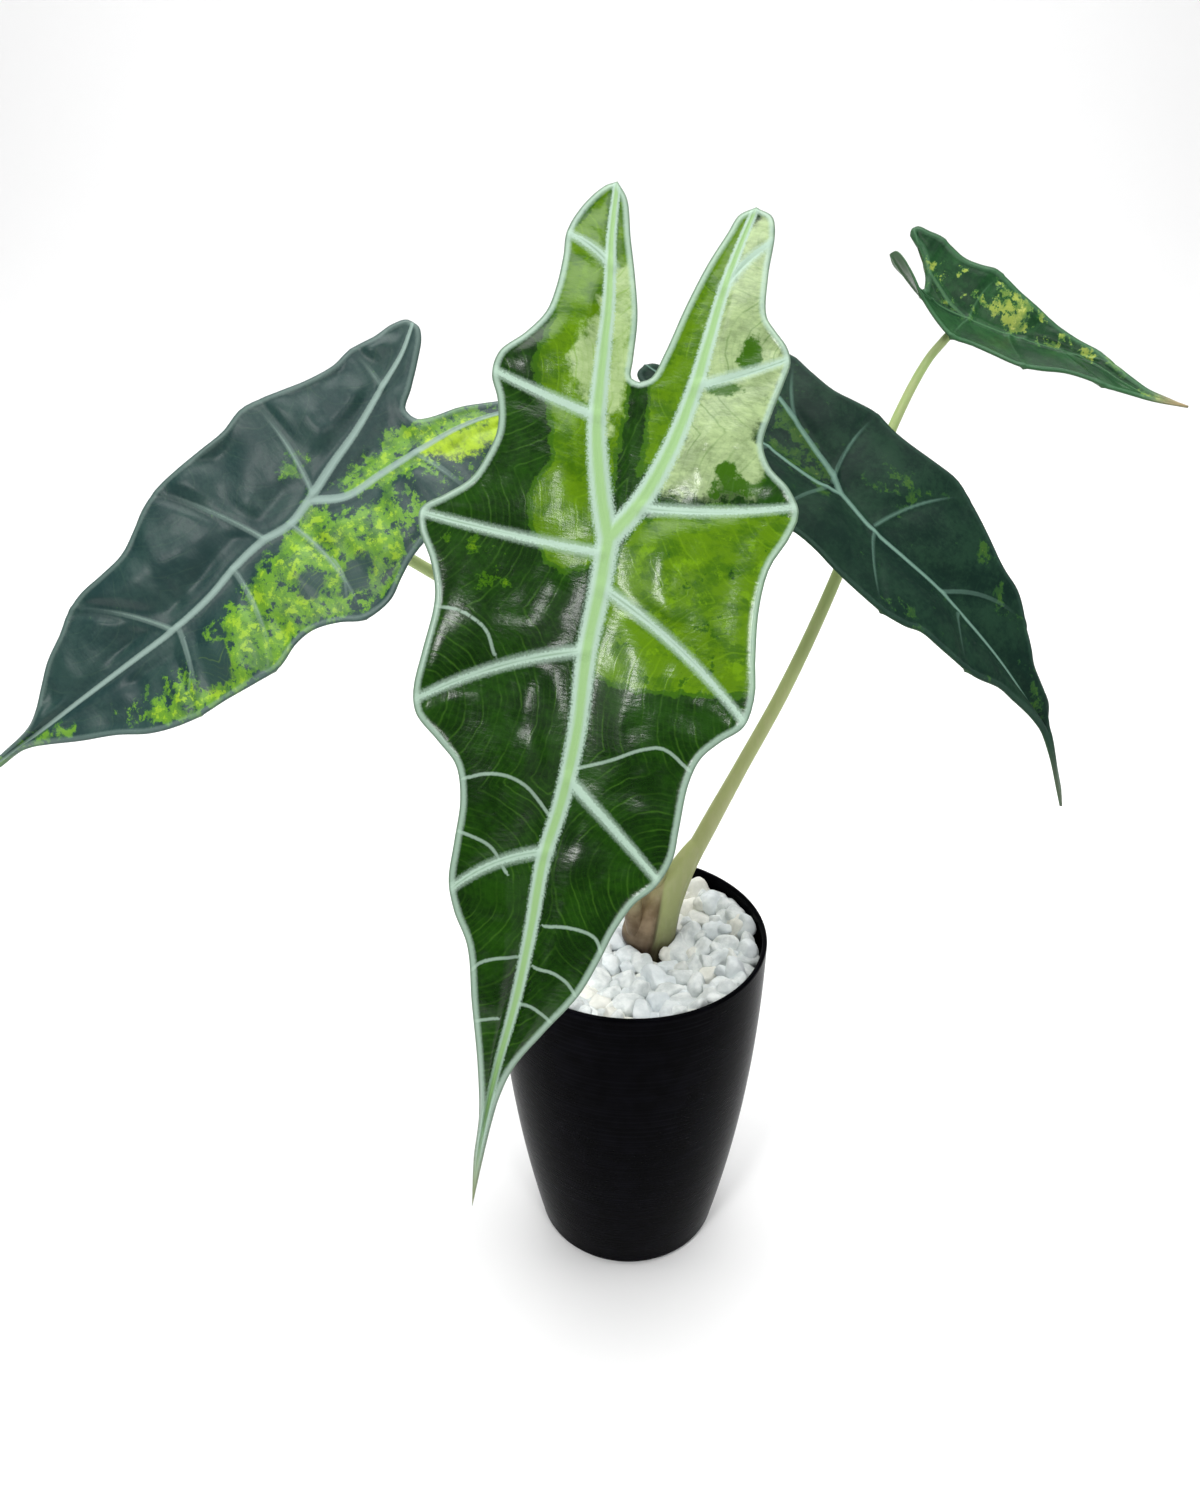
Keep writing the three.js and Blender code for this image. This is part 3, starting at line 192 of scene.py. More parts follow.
# Leaf outlines, laid flat: x to the right seen from above, y toward the back lobes, the stalk's
# junction at 0, 0. The margin runs from the tip to the lobe tip, the inner margin from the notch.
# rib_half is the midrib's half width at the tip, the junction and the lobe; swell and crumple are
# the heights of the quilting and the wrinkles; bends are in radians a millimetre, folds in degrees.
# Patches are lime, pale or dark areas; minor veins are thin pale lines between the side veins.
LEAVES = {
    "front": {
        "rib_half": (0.8, 3.2, 1), "swell": 2, "crumple": 0.6, "size": 1, "junction": (-8.4, -57, 277.3),
        "along": (0.204, 0.52, 0.829), "facing": (0, -0.85, 0.53), "tip_bend": -0.002, "lobe_bend": -0.001,
        "fold": (6, 6), "lobe_fold": (2, 2), "sinus": (-0.5, 38),
        "midrib": (
            (0, 0), (0.5, -12), (0.5, -26), (2, -44), (1.8, -61), (0.4, -75), (0.8, -92), (0.6, -109),
            (-0.4, -124), (-0.9, -138), (-0.8, -151), (0, -164),
        ),
        "left": {
            "costa": ((0, 0), (-3.5, 9), (-8, 25), (-9.5, 37), (-11.5, 56), (-14, 71), (-15.5, 85.5)),
            "outer": (
                (0, -164), (-1.9, -151), (-2.7, -139), (-5.5, -125.5), (-9.5, -111), (-13, -98),
                (-17.5, -90.5), (-20, -84), (-20.5, -74.5), (-21, -65), (-23.5, -57.5), (-28.5, -53),
                (-34.5, -48), (-36.2, -43), (-36, -34), (-35.5, -24.5), (-36, -20), (-38.5, -13.5),
                (-42.5, -7), (-43, -2.5), (-38.5, 1.5), (-33.5, 6.5), (-31, 13), (-30, 19), (-31.5, 26),
                (-34, 31.5), (-33.5, 37), (-28.5, 43), (-25, 49), (-24, 55.5), (-24, 63.5), (-24.5, 70),
                (-22, 78), (-18, 84), (-15.5, 85.5),
            ),
            "inner": (
                (-0.5, 38), (-2.5, 38.5), (-3, 43), (-4, 53), (-6.5, 62.5), (-9.5, 72), (-12.5, 82),
                (-15.5, 85.5),
            ),
            "veins": (
                ((1, -73), (-19.5, -86), 2), ((0.5, -26), (-35.6, -45), 2),
                ((-1, -3.5), (-42.8, -3.5), -0.6), ((-8.5, 27.5), (-34, 32.5), -0.5),
                ((-12.5, 64), (-24.5, 69.5), 0.8),
            ),
        },
        "right": {
            "costa": (
                (0, 0), (5.5, 9.5), (10, 23.5), (12.5, 38.5), (13.5, 51), (14.5, 64), (16, 75), (18, 86),
            ),
            "outer": (
                (0, -164), (0.3, -151), (0.8, -140), (1.5, -133), (3.5, -125), (9, -114.5), (15, -104),
                (18, -95), (20, -87.5), (23, -80.5), (27, -75.5), (29.5, -68.5), (29.5, -61.5), (29.5, -51),
                (31, -45), (34.5, -40.5), (39, -36), (40, -29), (38.5, -21), (37, -9.5), (37.5, 0),
                (40.5, 7.5), (41.5, 13.5), (38.5, 18.5), (33, 23), (30.5, 28), (31, 34.5), (32.5, 43.5),
                (33, 48.5), (31.5, 52), (28, 55.5), (25.5, 58.5), (24, 68.5), (23.5, 80.5), (22, 84.5),
                (18, 86),
            ),
            "inner": (
                (-0.5, 38), (2, 39.5), (4, 46), (6.5, 58), (9.5, 69.5), (12.5, 78), (14.5, 83.5), (18, 86),
            ),
            "veins": (
                ((2, -55.5), (27.3, -74), 0.3), ((0.5, -11), (38.8, -35), 1.8),
                ((5.5, 8.5), (41.2, 15), -1.2), ((12.5, 39), (33, 49.5), -0.5),
                ((14.5, 64), (23.6, 78), 0.8),
            ),
        },
        "lime": (
            ((-17, 88), (-23.5, 69), (-24, 55), (-23.5, 50), (-23.5, 41.5), (-25.5, 35), (-21, 30),
             (-18, 22), (-16, 14), (-18, 10), (-19.5, 5), (-17.5, -1.5), (-13, -8), (-9.5, -9.5), (0, -5.5),
             (-4, 8), (-9, 30), (-11, 50), (-15, 72)),
            ((-15, 88), (-12, 60), (-9, 35), (-4, 9), (-1.5, 12), (-2.5, 24), (-2, 39), (-4.5, 55),
             (-10, 72)),
            ((2, 41), (3.5, 27), (4, 16), (9, 22), (13, 50), (18, 88), (12, 80), (6, 60)),
            ((9.5, 7.5), (24, 12), (42, 13), (42, 2), (42, -28), (27.5, -31), (16.5, -32.5), (2, -31.5),
             (2, -12), (5, 4)),
        ),
        "pale": (
            ((13, 50), (14, 37), (8.5, 13.5), (18, 13), (31, 15), (33, 22.5), (28.5, 29), (33, 47),
             (30, 53), (25, 60), (24, 78), (20, 88), (16, 72)),
            ((-12, 57), (-15, 47.5), (-17, 39.5), (-14.5, 32.5), (-10, 29), (-10.5, 44)),
            ((-3, 36), (-4.5, 52), (-8, 66), (-12, 62), (-10, 40), (-6, 20)),
        ),
        "dark": (
            ((22.5, 53), (27.5, 54.5), (25, 45), (21.5, 45.5)),
            ((14.5, 39.5), (21.5, 42), (25, 40.5), (18.5, 37.5)),
            ((22, 20.5), (25, 22.5), (30, 14.5), (21, 13.2)),
            ((30, 17.5), (33.5, 21.5), (39.5, 15.5), (32.5, 14)),
        ),
        "mottle": (
            ((-40, -6.5), (-29, -3.5), (-18.5, -9), (-17.5, -18), (-28.5, -20), (-37, -14)),
            ((-15, -100), (-9, -104), (-6.5, -122), (-12, -114)),
            ((8, 5), (40, 11), (40, -26), (16, -31), (4, -26)),
        ),
        "minor": (
            ((-0.5, -64.5), (-7, -59), (-12, -57.5), (-16.5, -58), (-21, -60)),
            ((-1.5, -98.5), (-6, -99.5), (-9.5, -101.5), (-11, -103.5)),
            ((-3, -113.5), (-6, -114.5), (-8, -115.5)),
            ((-7.5, -79.5), (-12.5, -74), (-20, -72)),
            ((3.5, -53), (11, -49.5), (18, -45.5), (22.5, -44.5), (29, -48)),
            ((4, -90), (8.5, -89), (13, -89), (16, -90), (18, -93)),
            ((3.5, -100), (8, -100), (11.5, -101.5), (14, -104)),
            ((1, -110), (4, -109), (7, -110), (10, -112)),
            ((-35.5, -23.5), (-29.5, -23.5), (-23, -26.5), (-20, -31.5)),
        ),
    },
    "left": {
        "rib_half": (0.8, 2.9, 1), "swell": 1.6, "crumple": 2, "size": 1, "junction": (-90, 0, 269.3),
        "along": (0.787, 0.283, 0.548), "facing": (-0.094, -0.823, 0.56), "tip_bend": -0.0017,
        "lobe_bend": -0.002, "fold": (6, 6), "lobe_fold": (3, 3), "sinus": (-2, 36.5),
        "midrib": (
            (0, 0), (2, -8), (0.8, -17), (1.5, -27), (3.5, -38), (4, -52), (3, -67), (1.5, -86),
            (-0.5, -110), (-4, -135),
        ),
        "left": {
            "costa": ((0, 0), (-4, 11), (-7.5, 22), (-13.5, 36), (-17.5, 45), (-23, 53)),
            "outer": (
                (-4, -135), (-3, -116), (-3, -103), (-5, -98), (-9, -92), (-13, -86), (-16.5, -78),
                (-19.5, -72.5), (-21, -66), (-21, -58), (-21.5, -50), (-24.5, -43), (-27.5, -37.5),
                (-29.5, -31), (-30, -23), (-30, -15), (-30, -7), (-32, 0.5), (-31, 6.5), (-29, 13),
                (-27, 20), (-26, 28), (-27, 34), (-26, 42), (-26, 48), (-24.8, 52), (-23, 53),
            ),
            "inner": ((-2, 36.5), (-4.5, 36.5), (-8, 41), (-14, 48), (-18, 52), (-21, 53.5), (-23, 53)),
            "veins": (
                ((3.3, -52), (-20, -71.5), 1.5), ((0.6, -16), (-29.3, -32), 1),
                ((-1, 2), (-31.6, 4.5), 1.5), ((-13, 35), (-26.8, 34.5), 0.5),
            ),
        },
        "right": {
            "costa": ((0, 0), (6, 9), (7, 20), (8, 31), (9.5, 44), (12, 53), (18, 66)),
            "outer": (
                (-4, -135), (-0.5, -119), (0.5, -110), (2, -106), (5, -101), (11, -92), (17, -82),
                (23, -74), (26.5, -67), (29, -59), (30.5, -50), (32, -42), (33, -33), (31, -26), (31, -20),
                (34, -13), (37.5, -8), (38.5, -3), (38, 2), (35, 7.5), (32, 14), (30.5, 22), (32, 31),
                (33, 37), (30, 45), (27.5, 52), (27, 60), (25, 65), (22, 67), (18, 66),
            ),
            "inner": (
                (-2, 36.5), (0, 37.5), (2, 41), (4.5, 48.5), (7.5, 54), (10.5, 59), (14, 64.5), (18, 66),
            ),
            "veins": (
                ((4, -50), (29, -59), 1), ((1.5, -28), (33, -35), 2), ((2, -8), (37.8, -7), 2.5),
                ((8, 31), (33, 36.5), 1),
            ),
        },
        "lime": (
            ((-1, 33.5), (3, 46), (11.5, 56), (18, 66), (25, 64), (26, 52), (17.5, 45), (12.5, 36),
             (11.5, 23), (9.5, 14), (1.5, 9), (0, 20)),
            ((0, 0.5), (10, 3.5), (14.5, 17.5), (20.5, 20.5), (30, 14), (34, 5), (33, -9), (30, -22),
             (33, -37), (31, -52), (26, -66), (20, -72), (15, -66), (19, -52), (14, -43), (8, -25),
             (5, -12)),
            ((-4, -135), (-2, -118), (2.5, -98), (7, -92), (3, -106), (0, -122)),
            ((-12, 3), (-10.5, -1), (-8.5, 1.5), (-10.5, 4.5)),
        ),
        "pale": (
            ((7, 31.5), (8.5, 42.5), (13.5, 53), (19, 60), (22, 56), (19, 46), (16, 38), (11, 33)),
        ),
        "dark": (
            ((21.5, -1), (24.5, 5.5), (32, -1.5), (28.5, -9.5)),
            ((16, -11), (21, -7.5), (25, -13.5), (20, -17.5)),
            ((11.5, -51), (17, -40.5), (28, -44.5), (23, -55)),
        ),
        "mottle": (
            ((0, 0.5), (10, 3.5), (14.5, 24), (26, 28), (36, 2), (36, -20), (36, -40), (29, -60), (20, -76),
             (8, -84), (12, -52), (5, -18)),
            ((-1, 36), (2, 46), (11, 57), (26, 64), (31, 44), (20, 24), (6, 6), (0, 20)),
        ),
        "minor": (
            ((8.5, -50.5), (15.5, -53), (21, -57.5)),
            ((18.5, -4), (24, -4.5), (30, -7.5)),
        ),
    },
    "right": {
        "rib_half": (0.8, 2.9, 1), "swell": 1.6, "crumple": 0.4, "size": 1, "junction": (57.4, 10, 268),
        "along": (-0.763, 0.386, 0.518), "facing": (0.294, -0.506, 0.811), "tip_bend": -0.0055,
        "lobe_bend": -0.001, "fold": (11, 11), "lobe_fold": (4, 4), "sinus": (3, 30),
        "midrib": (
            (0, 0), (-3, -13), (-2.5, -25), (-1, -38), (-0.5, -50), (0.5, -65), (1.3, -82), (1.9, -92),
            (0.1, -100), (-2.4, -107), (-5, -115),
        ),
        "left": {
            "costa": ((0, 0), (-3, 7), (-4, 15), (-4, 24), (-4.5, 45), (-6, 67)),
            "outer": (
                (-5, -115), (-3, -106.5), (-1.2, -100), (-0.3, -92), (-2, -85), (-6, -76), (-8.5, -70),
                (-15, -62), (-18, -56), (-21, -48), (-23, -41), (-27, -36), (-30, -28), (-31, -21),
                (-31, -13), (-30, -6), (-30, 1), (-31.5, 8), (-28, 15), (-25, 24), (-25, 33), (-22, 41),
                (-18, 50), (-14.5, 60), (-11, 66), (-6, 67),
            ),
            "inner": ((3, 30), (1.5, 32), (1, 40), (0.5, 50), (-0.5, 60), (-2.5, 65.5), (-6, 67)),
            "veins": (
                ((-2, -47), (-17, -58), 1), ((-3, -14), (-29.5, -29), 1.5), ((-2, 4), (-31.5, 8), 1.5),
                ((-4, 24), (-25.3, 31), 1),
            ),
        },
        "right": {
            "costa": ((0, 0), (4, 6), (7, 14), (11, 24), (14, 31), (18, 45), (23, 60)),
            "outer": (
                (-5, -115), (-2.6, -111.5), (-0.2, -105), (2.4, -98), (4, -92), (8, -87), (9, -82),
                (10.5, -75), (13, -71), (17, -64), (21, -56), (22, -48), (26, -37), (29, -29), (31, -22),
                (30, -13), (29.5, -6), (30, 1), (31.5, 8), (30, 15), (28.5, 22), (29.5, 31), (31, 38),
                (28.5, 46), (27, 54), (26, 59), (23, 60),
            ),
            "inner": ((3, 30), (5, 31.5), (8, 37), (12, 46), (16, 55), (19, 59.5), (23, 60)),
            "veins": (
                ((0, -40), (16.5, -65), 3), ((-1, -13), (29.5, -27.5), 2), ((1.5, 4), (31.3, 7), 2),
                ((11, 24), (31, 37), 1.5),
            ),
        },
        "lime": (
            ((12, 33), (8.5, 27), (5, 21), (-1.5, 7), (2, 9), (7, 18), (10, 24)),
            ((0.5, 28), (-3, 20), (-4, 5), (-1, 9), (0.5, 16)),
            ((7, 19), (3.5, 11), (2, 6.5), (5, 9)),
        ),
        "pale": (),
        "dark": (),
        "mottle": (
            ((-30, -18), (-20, -30), (-22, -48), (-10, -66), (-18, -60), (-28, -38)),
            ((0, 30), (-4, 10), (2, 4), (12, 30)),
            ((8, -4), (22, -6), (20, -20), (8, -16)),
            ((14, -40), (24, -36), (16, -62), (8, -70)),
            ((6, -70), (9, -80), (2, -92), (2, -76)),
        ),
        "minor": (),
    },
    "upper": {
        "rib_half": (0.6, 1.9, 0.7), "swell": 0.9, "crumple": 0.65, "size": 1.06,
        "junction": (96.8, 48, 309.7), "along": (-0.857, 0.2, 0.475), "facing": (0.283, -0.59, 0.757),
        "tip_bend": 0.006, "lobe_bend": 0.006, "fold": (18, 27), "lobe_fold": (75, 27), "sinus": (1, 14),
        "midrib": (
            (0, 0), (3, -13), (6, -25), (7.2, -33), (6.5, -39), (3.6, -46), (1.2, -54), (1, -65),
        ),
        "left": {
            "costa": ((0, 0), (-2.5, 5), (-4, 10), (-4, 18), (-3.5, 28)),
            "outer": (
                (1, -65), (-0.5, -58), (-2, -51), (-4.5, -44), (-5.5, -38), (-7.5, -31), (-12, -24),
                (-14.5, -17), (-14.5, -11), (-15, -4), (-17, 2), (-15, 8), (-13, 13), (-12, 18), (-9, 23.5),
                (-6, 27.5), (-3.5, 28),
            ),
            "inner": ((1, 14), (-0.5, 15), (-1, 20), (-1.5, 25), (-3.5, 28)),
            "veins": (
                ((6.5, -28), (-4.8, -42), 1), ((3, -13), (-14, -20), 1), ((0, -1), (-17, 2), 0.5),
                ((-4, 11), (-12.6, 16), 0.5),
            ),
        },
        "right": {
            "costa": ((0, 0), (1.5, 6), (3.5, 11), (6, 17), (9, 22), (12, 26.5)),
            "outer": (
                (1, -65), (2.1, -60), (3.2, -54), (5.4, -49), (8.5, -43), (11, -38), (12, -31), (13, -24),
                (14.5, -17), (15.5, -10), (16.5, -5), (17, -1), (15.5, 4), (14.5, 9), (15, 14), (15.5, 18),
                (14.5, 22), (13.5, 25.5), (12, 26.5),
            ),
            "inner": ((1, 14), (3, 15), (6, 17.5), (8.5, 20.5), (9.5, 24), (10.3, 26), (12, 26.5)),
            "veins": (
                ((5.5, -30), (9, -42.5), 1), ((3.5, -17), (13.5, -22.5), 1), ((0.5, -1), (16.7, -3), 1.5),
                ((6, 17), (15.4, 17), 0.5),
            ),
        },
        "lime": (
            ((3.5, -8), (9, -3.5), (13, -5), (13, -10), (16.5, -17), (15, -20), (9, -15), (7.5, -18),
             (9, -27), (6.5, -24)),
            ((8.5, -26), (10, -32), (11.5, -33), (12.5, -30), (12, -38), (9.5, -44), (5.8, -48.5),
             (4.5, -47), (8, -41), (7.5, -34)),
            ((-1.5, 0), (1.5, 6), (3.5, 11), (6.5, 18), (5, 18), (1.8, 11), (0, 5)),
            ((0, -0.5), (4, 1.2), (8.5, 2), (4, -0.5)),
            ((1, -65), (-1, -58), (-1, -52), (3.5, -52), (2.5, -58)),
        ),
        "pale": (),
        "dark": (),
        "mottle": (
            ((2, -4), (14, 2), (17, -14), (13, -34), (7, -46), (5, -20)),
            ((0, 0), (6, 20), (12, 24), (14, 4)),
        ),
        "minor": (),
    },
}

# Outlines whose depth a leaf keeps for its material
PATCHES = ("lime", "pale", "dark", "mottle")

# Shades, as linear colour. ragged and scale set how far and how coarsely a patch breaks up, cover how much
# of it there is; slim and the shares set how wide and how strong veins, edge and fine lines show.
UNDERSIDE = (0.07, 0.13, 0.06, 1)
LEAF_LOOKS = {
    "front": {
        "deep": (0.003, 0.021, 0.0003, 1), "green": (0.009, 0.048, 0.0006, 1),
        "middle": (0.03, 0.1, 0.0006, 1), "lime": (0.08, 0.18, 0.0006, 1),
        # The front leaf's pale is its pale variegation, made lighter with painted gloss sheen
        "bright": (0.13, 0.27, 0.0015, 1), "pale": (0.38, 0.5, 0.24, 1), "vein": (0.36, 0.5, 0.4, 1),
        "rib": (0.24, 0.42, 0.14, 1), "line": (0.045, 0.13, 0.01, 1), "gloss": 0.19, "feather": 1.3,
        "ragged": 1.4, "shine": 0.3, "scale": 0.16, "cover": 0, "slim": 1, "vein_share": 1,
        "edge_share": 0.75, "fade": (-2, 0), "line_share": 0.3, "tip": (0.2, 0.22, 0.1, 1),
        "tip_length": 22,
    },
    # The left leaf's deep and green are blue-grey: its own dark green with painted sheen mixed in
    "left": {
        "deep": (0.009, 0.034, 0.033, 1), "green": (0.019, 0.052, 0.045, 1),
        "middle": (0.035, 0.11, 0.03, 1), "lime": (0.11, 0.26, 0.02, 1), "bright": (0.28, 0.46, 0.02, 1),
        "pale": (0.4, 0.58, 0.02, 1), "vein": (0.24, 0.34, 0.3, 1), "rib": (0.27, 0.37, 0.33, 1),
        "line": (0.05, 0.1, 0.06, 1), "gloss": 0.38, "feather": 0.5, "ragged": 4.5, "shine": 0.32,
        "scale": 0.24, "cover": 0.05, "slim": 0.55, "vein_share": 0.75, "edge_share": 0.3, "fade": (2, 18),
        "line_share": 0.12, "tip": (0.26, 0.34, 0.03, 1), "tip_length": 12,
    },
    "right": {
        "deep": (0.006, 0.02, 0.014, 1), "green": (0.013, 0.038, 0.022, 1),
        "middle": (0.017, 0.055, 0.02, 1), "lime": (0.034, 0.09, 0.018, 1), "bright": (0.12, 0.18, 0.03, 1),
        "pale": (0.3, 0.38, 0.05, 1), "vein": (0.13, 0.24, 0.19, 1), "rib": (0.18, 0.3, 0.24, 1),
        "line": (0.02, 0.06, 0.03, 1), "gloss": 0.38, "feather": 0.5, "ragged": 5.5, "shine": 0.06,
        "scale": 0.16, "cover": 0.1, "slim": 0.42, "vein_share": 0.7, "edge_share": 0.1, "fade": (2, 14),
        "line_share": 0.08, "tip": (0.12, 0.14, 0.1, 1), "tip_length": 22,
    },
    "upper": {
        "deep": (0.006, 0.036, 0.012, 1), "green": (0.015, 0.075, 0.02, 1), "middle": (0.05, 0.15, 0.03, 1),
        "lime": (0.28, 0.36, 0.06, 1), "bright": (0.5, 0.54, 0.13, 1), "pale": (0.5, 0.56, 0.12, 1),
        "vein": (0.08, 0.2, 0.1, 1), "rib": (0.09, 0.2, 0.08, 1), "line": (0.03, 0.1, 0.03, 1),
        "gloss": 0.34, "feather": 0.5, "ragged": 5, "shine": 0.2, "scale": 0.2, "cover": -0.3, "slim": 0.4,
        "vein_share": 0.45, "edge_share": 0.45, "fade": (1, 8), "line_share": 0.08,
        "tip": (0.42, 0.3, 0.16, 1), "tip_length": 12,
    },
}


def mix(a, b, share):
    return a + (b - a) * share


def smooth(value):
    t = np.clip(value, 0, 1)
    return t * t * (3 - 2 * t)


def around(count):
    return 2 * np.pi * np.arange(count) / count


# Curves through given points, centripetal, and places along them
def curved(points, samples=12):
    place = np.asarray(points, float)[:, :3]
    ends = [2 * place[0] - place[1], *place, 2 * place[-1] - place[-2]]
    out = []
    for i in range(1, len(ends) - 2):
        p0, p1, p2, p3 = ends[i - 1:i + 3]
        t1 = math.sqrt(np.linalg.norm(p1 - p0)) + 1e-9
        t2 = t1 + math.sqrt(np.linalg.norm(p2 - p1)) + 1e-9
        t3 = t2 + math.sqrt(np.linalg.norm(p3 - p2)) + 1e-9
        t = np.linspace(t1, t2, samples, endpoint=False)[:, None]
        a1 = mix(p0, p1, t / t1)
        a2 = mix(p1, p2, (t - t1) / (t2 - t1))
        a3 = mix(p2, p3, (t - t2) / (t3 - t2))
        b1 = mix(a1, a2, t / t2)
        b2 = mix(a2, a3, (t - t1) / (t3 - t1))
        out.append(mix(b1, b2, (t - t1) / (t2 - t1)))
    return np.vstack([*out, place[-1:]])


class Line:
    def __init__(self, points):
        self.points = points
        steps = np.linalg.norm(np.diff(points, axis=0), axis=1)
        self.lengths = np.concatenate([[0], np.cumsum(steps)])
        self.total = self.lengths[-1]

    def at(self, length):
        return np.stack([np.interp(length, self.lengths, column) for column in self.points.T], -1)

    def nearest(self, point):
        return self.lengths[np.argmin(np.linalg.norm(self.points - point, axis=1))]


# A line from start to end that bows toward the back lobes
def bent(start, end, arch, shares):
    start, end = np.asarray(start, float), np.asarray(end, float)
    way = end - start
    length = np.maximum(np.linalg.norm(way, axis=-1, keepdims=True), 1e-9)
    sag = np.stack([-way[..., 1], way[..., 0]], -1) / length
    sag = np.where(sag[..., 1:] < 0, -sag, sag)
    control = (start + end) / 2 + sag * 2 * np.asarray(arch)[..., None]
    t = shares[..., None]
    if start.ndim > 1:
        start, control, end = start[:, None], control[:, None], end[:, None]
    return (1 - t) ** 2 * start + 2 * t * (1 - t) * control + t ** 2 * end


# Seeded value noise over flat coordinates
def value_noise(x, y, size, seed):
    table = np.random.default_rng(seed).random((64, 64))
    u, v = x / size + 100, y / size + 100
    i, j = np.floor(u).astype(int), np.floor(v).astype(int)
    a, b = smooth(u - i), smooth(v - j)
    low = mix(table[i % 64, j % 64], table[(i + 1) % 64, j % 64], a)
    high = mix(table[i % 64, (j + 1) % 64], table[(i + 1) % 64, (j + 1) % 64], a)
    return mix(low, high, b) * 2 - 1


# A new object in the scene, smooth, from points in millimetres
def new_piece(name, points, faces):
    mesh = bpy.data.meshes.new(name)
    mesh.from_pydata((np.asarray(points) * MM).tolist(), [], faces)
    mesh.polygons.foreach_set("use_smooth", [True] * len(mesh.polygons))
    piece = bpy.data.objects.new(name, mesh)
    bpy.context.scene.collection.objects.link(piece)
    return piece


def store(piece, name, values):
    layer = piece.data.attributes.new(name, "FLOAT", "POINT")
    layer.data.foreach_set("value", values.astype(np.float32))


# The bent and folded sheet that a flat leaf outline lies on
class Sheet:
    def __init__(self, leaf):
        self.leaf = leaf
        self.junction = np.array(leaf["junction"], float)
        self.along = np.array(leaf["along"], float)
        self.along /= np.linalg.norm(self.along)
        facing = np.array(leaf["facing"], float)
        facing -= (facing @ self.along) * self.along
        self.facing = facing / np.linalg.norm(facing)
        self.across = np.cross(self.along, self.facing)
        self.midrib = curved(leaf["midrib"])[::-1]

    def base(self, x, y):
        leaf = self.leaf
        rib = np.where(y < 0, np.interp(y, self.midrib[:, 1], self.midrib[:, 0]), 0)
        bend = np.where(y < 0, leaf["tip_bend"], leaf["lobe_bend"])
        turn = bend * y * leaf["size"]
        lobe = np.clip(y / leaf["sinus"][1] / 2, 0, 1) ** 2.5
        left = mix(leaf["fold"][0], leaf["lobe_fold"][0], lobe)
        right = mix(leaf["fold"][1], leaf["lobe_fold"][1], lobe)
        angle = np.radians(np.where(x < rib, left, right))
        out = (rib + (x - rib) * np.cos(angle)) * leaf["size"]
        up = np.abs(x - rib) * np.sin(angle) * leaf["size"]
        place = np.multiply.outer(out, self.across)
        place += np.multiply.outer(np.sin(turn) / bend - np.sin(turn) * up, self.along)
        place += np.multiply.outer((1 - np.cos(turn)) / bend + np.cos(turn) * up, self.facing)
        return self.junction + place

    def normal(self, x, y):
        over_x = self.base(x + 1, y) - self.base(x - 1, y)
        over_y = self.base(x, y + 1) - self.base(x, y - 1)
        normal = np.cross(over_x, over_y)
        return normal / np.linalg.norm(normal, axis=-1, keepdims=True)


# One half of a leaf, as rows from the ribs out to the margin and in to the notch
class Half:
    def __init__(self, sheet, side):
        shape = sheet.leaf[side]
        self.leaf = sheet.leaf
        self.axis = Line(np.vstack([sheet.midrib, curved(shape["costa"])[1:]]))
        self.margin = Line(curved(shape["outer"]))
        self.inner = Line(curved(shape["inner"]))
        self.junction_at = Line(sheet.midrib).total
        self.crests = []
        knots = [(0, 0, 0)]
        for start, end, arch in shape["veins"]:
            at, edge = self.axis.nearest(start), self.margin.nearest(end)
            self.crests.append(at)
            knots += [(at + step, edge + step, arch) for step in (-VEIN_FLANK, 0, VEIN_FLANK)]
        knots.append((self.axis.total, self.margin.total, 0))
        self.knots = np.array(knots)

    def rib_half(self, at):
        tip, junction, lobe = self.leaf["rib_half"]
        share = (at - self.junction_at) / (self.axis.total - self.junction_at)
        before = mix(tip, junction, at / self.junction_at)
        return np.where(at < self.junction_at, before, mix(junction, lobe, share))

    # The blade swells between two side veins, and lies flat at the tip and the lobe
    def pucker(self, at, share):
        stops = np.array([0, *self.crests, self.axis.total])
        i = np.clip(np.searchsorted(stops, at), 1, len(stops) - 1)
        phase = (at - stops[i - 1]) / (stops[i] - stops[i - 1])
        room = smooth(np.minimum(at, self.axis.total - at) / 35)
        swell = np.maximum(4 * phase * (1 - phase), 0) ** 0.6
        across = smooth(share / 0.4) * (1 - 0.55 * smooth((share - 0.6) / 0.4))
        return self.leaf["swell"] * room * swell * across

    def outer_rows(self, at, columns):
        knots = self.knots
        edge = np.interp(at, knots[:, 0], knots[:, 1])
        edge = mix(at, edge, np.clip(at / knots[1, 0], 0, 1))
        start, end = self.axis.at(at)[:, :2], self.margin.at(edge)[:, :2]
        length = np.maximum(np.linalg.norm(end - start, axis=1), 1e-6)
        first = np.minimum(self.rib_half(at) / length, 0.3)[:, None]
        last = np.maximum(1 - EDGE_BAND / length, 0.75)[:, None]
        rib = np.linspace(0, 1, RIB_STEPS)[:-1]
        field = np.linspace(0, 1, columns)
        rim = np.linspace(0, 1, RIM_STEPS)[1:]
        shares = np.hstack([first * rib, mix(first, last, field), mix(last, 1, rim)])
        flat = bent(start, end, np.interp(at, knots[:, 0], knots[:, 2]), shares)
        return flat, self.pucker(at[:, None], shares)

    def inner_rows(self, at, far, columns):
        start = self.axis.at(at)[:, :2]
        shares = np.linspace(0, 1, columns) ** 1.3
        return mix(start[:, None], far[:, None], shares[None, :, None])


def distance_to(points, target):
    tree = kdtree.KDTree(len(target))
    for i, place in enumerate(target):
        tree.insert((place[0], place[1], 0), i)
    tree.balance()
    found = [tree.find((x, y, 0)) for x, y in points]
    return np.array([hit[2] for hit in found]), np.array([hit[1] for hit in found])


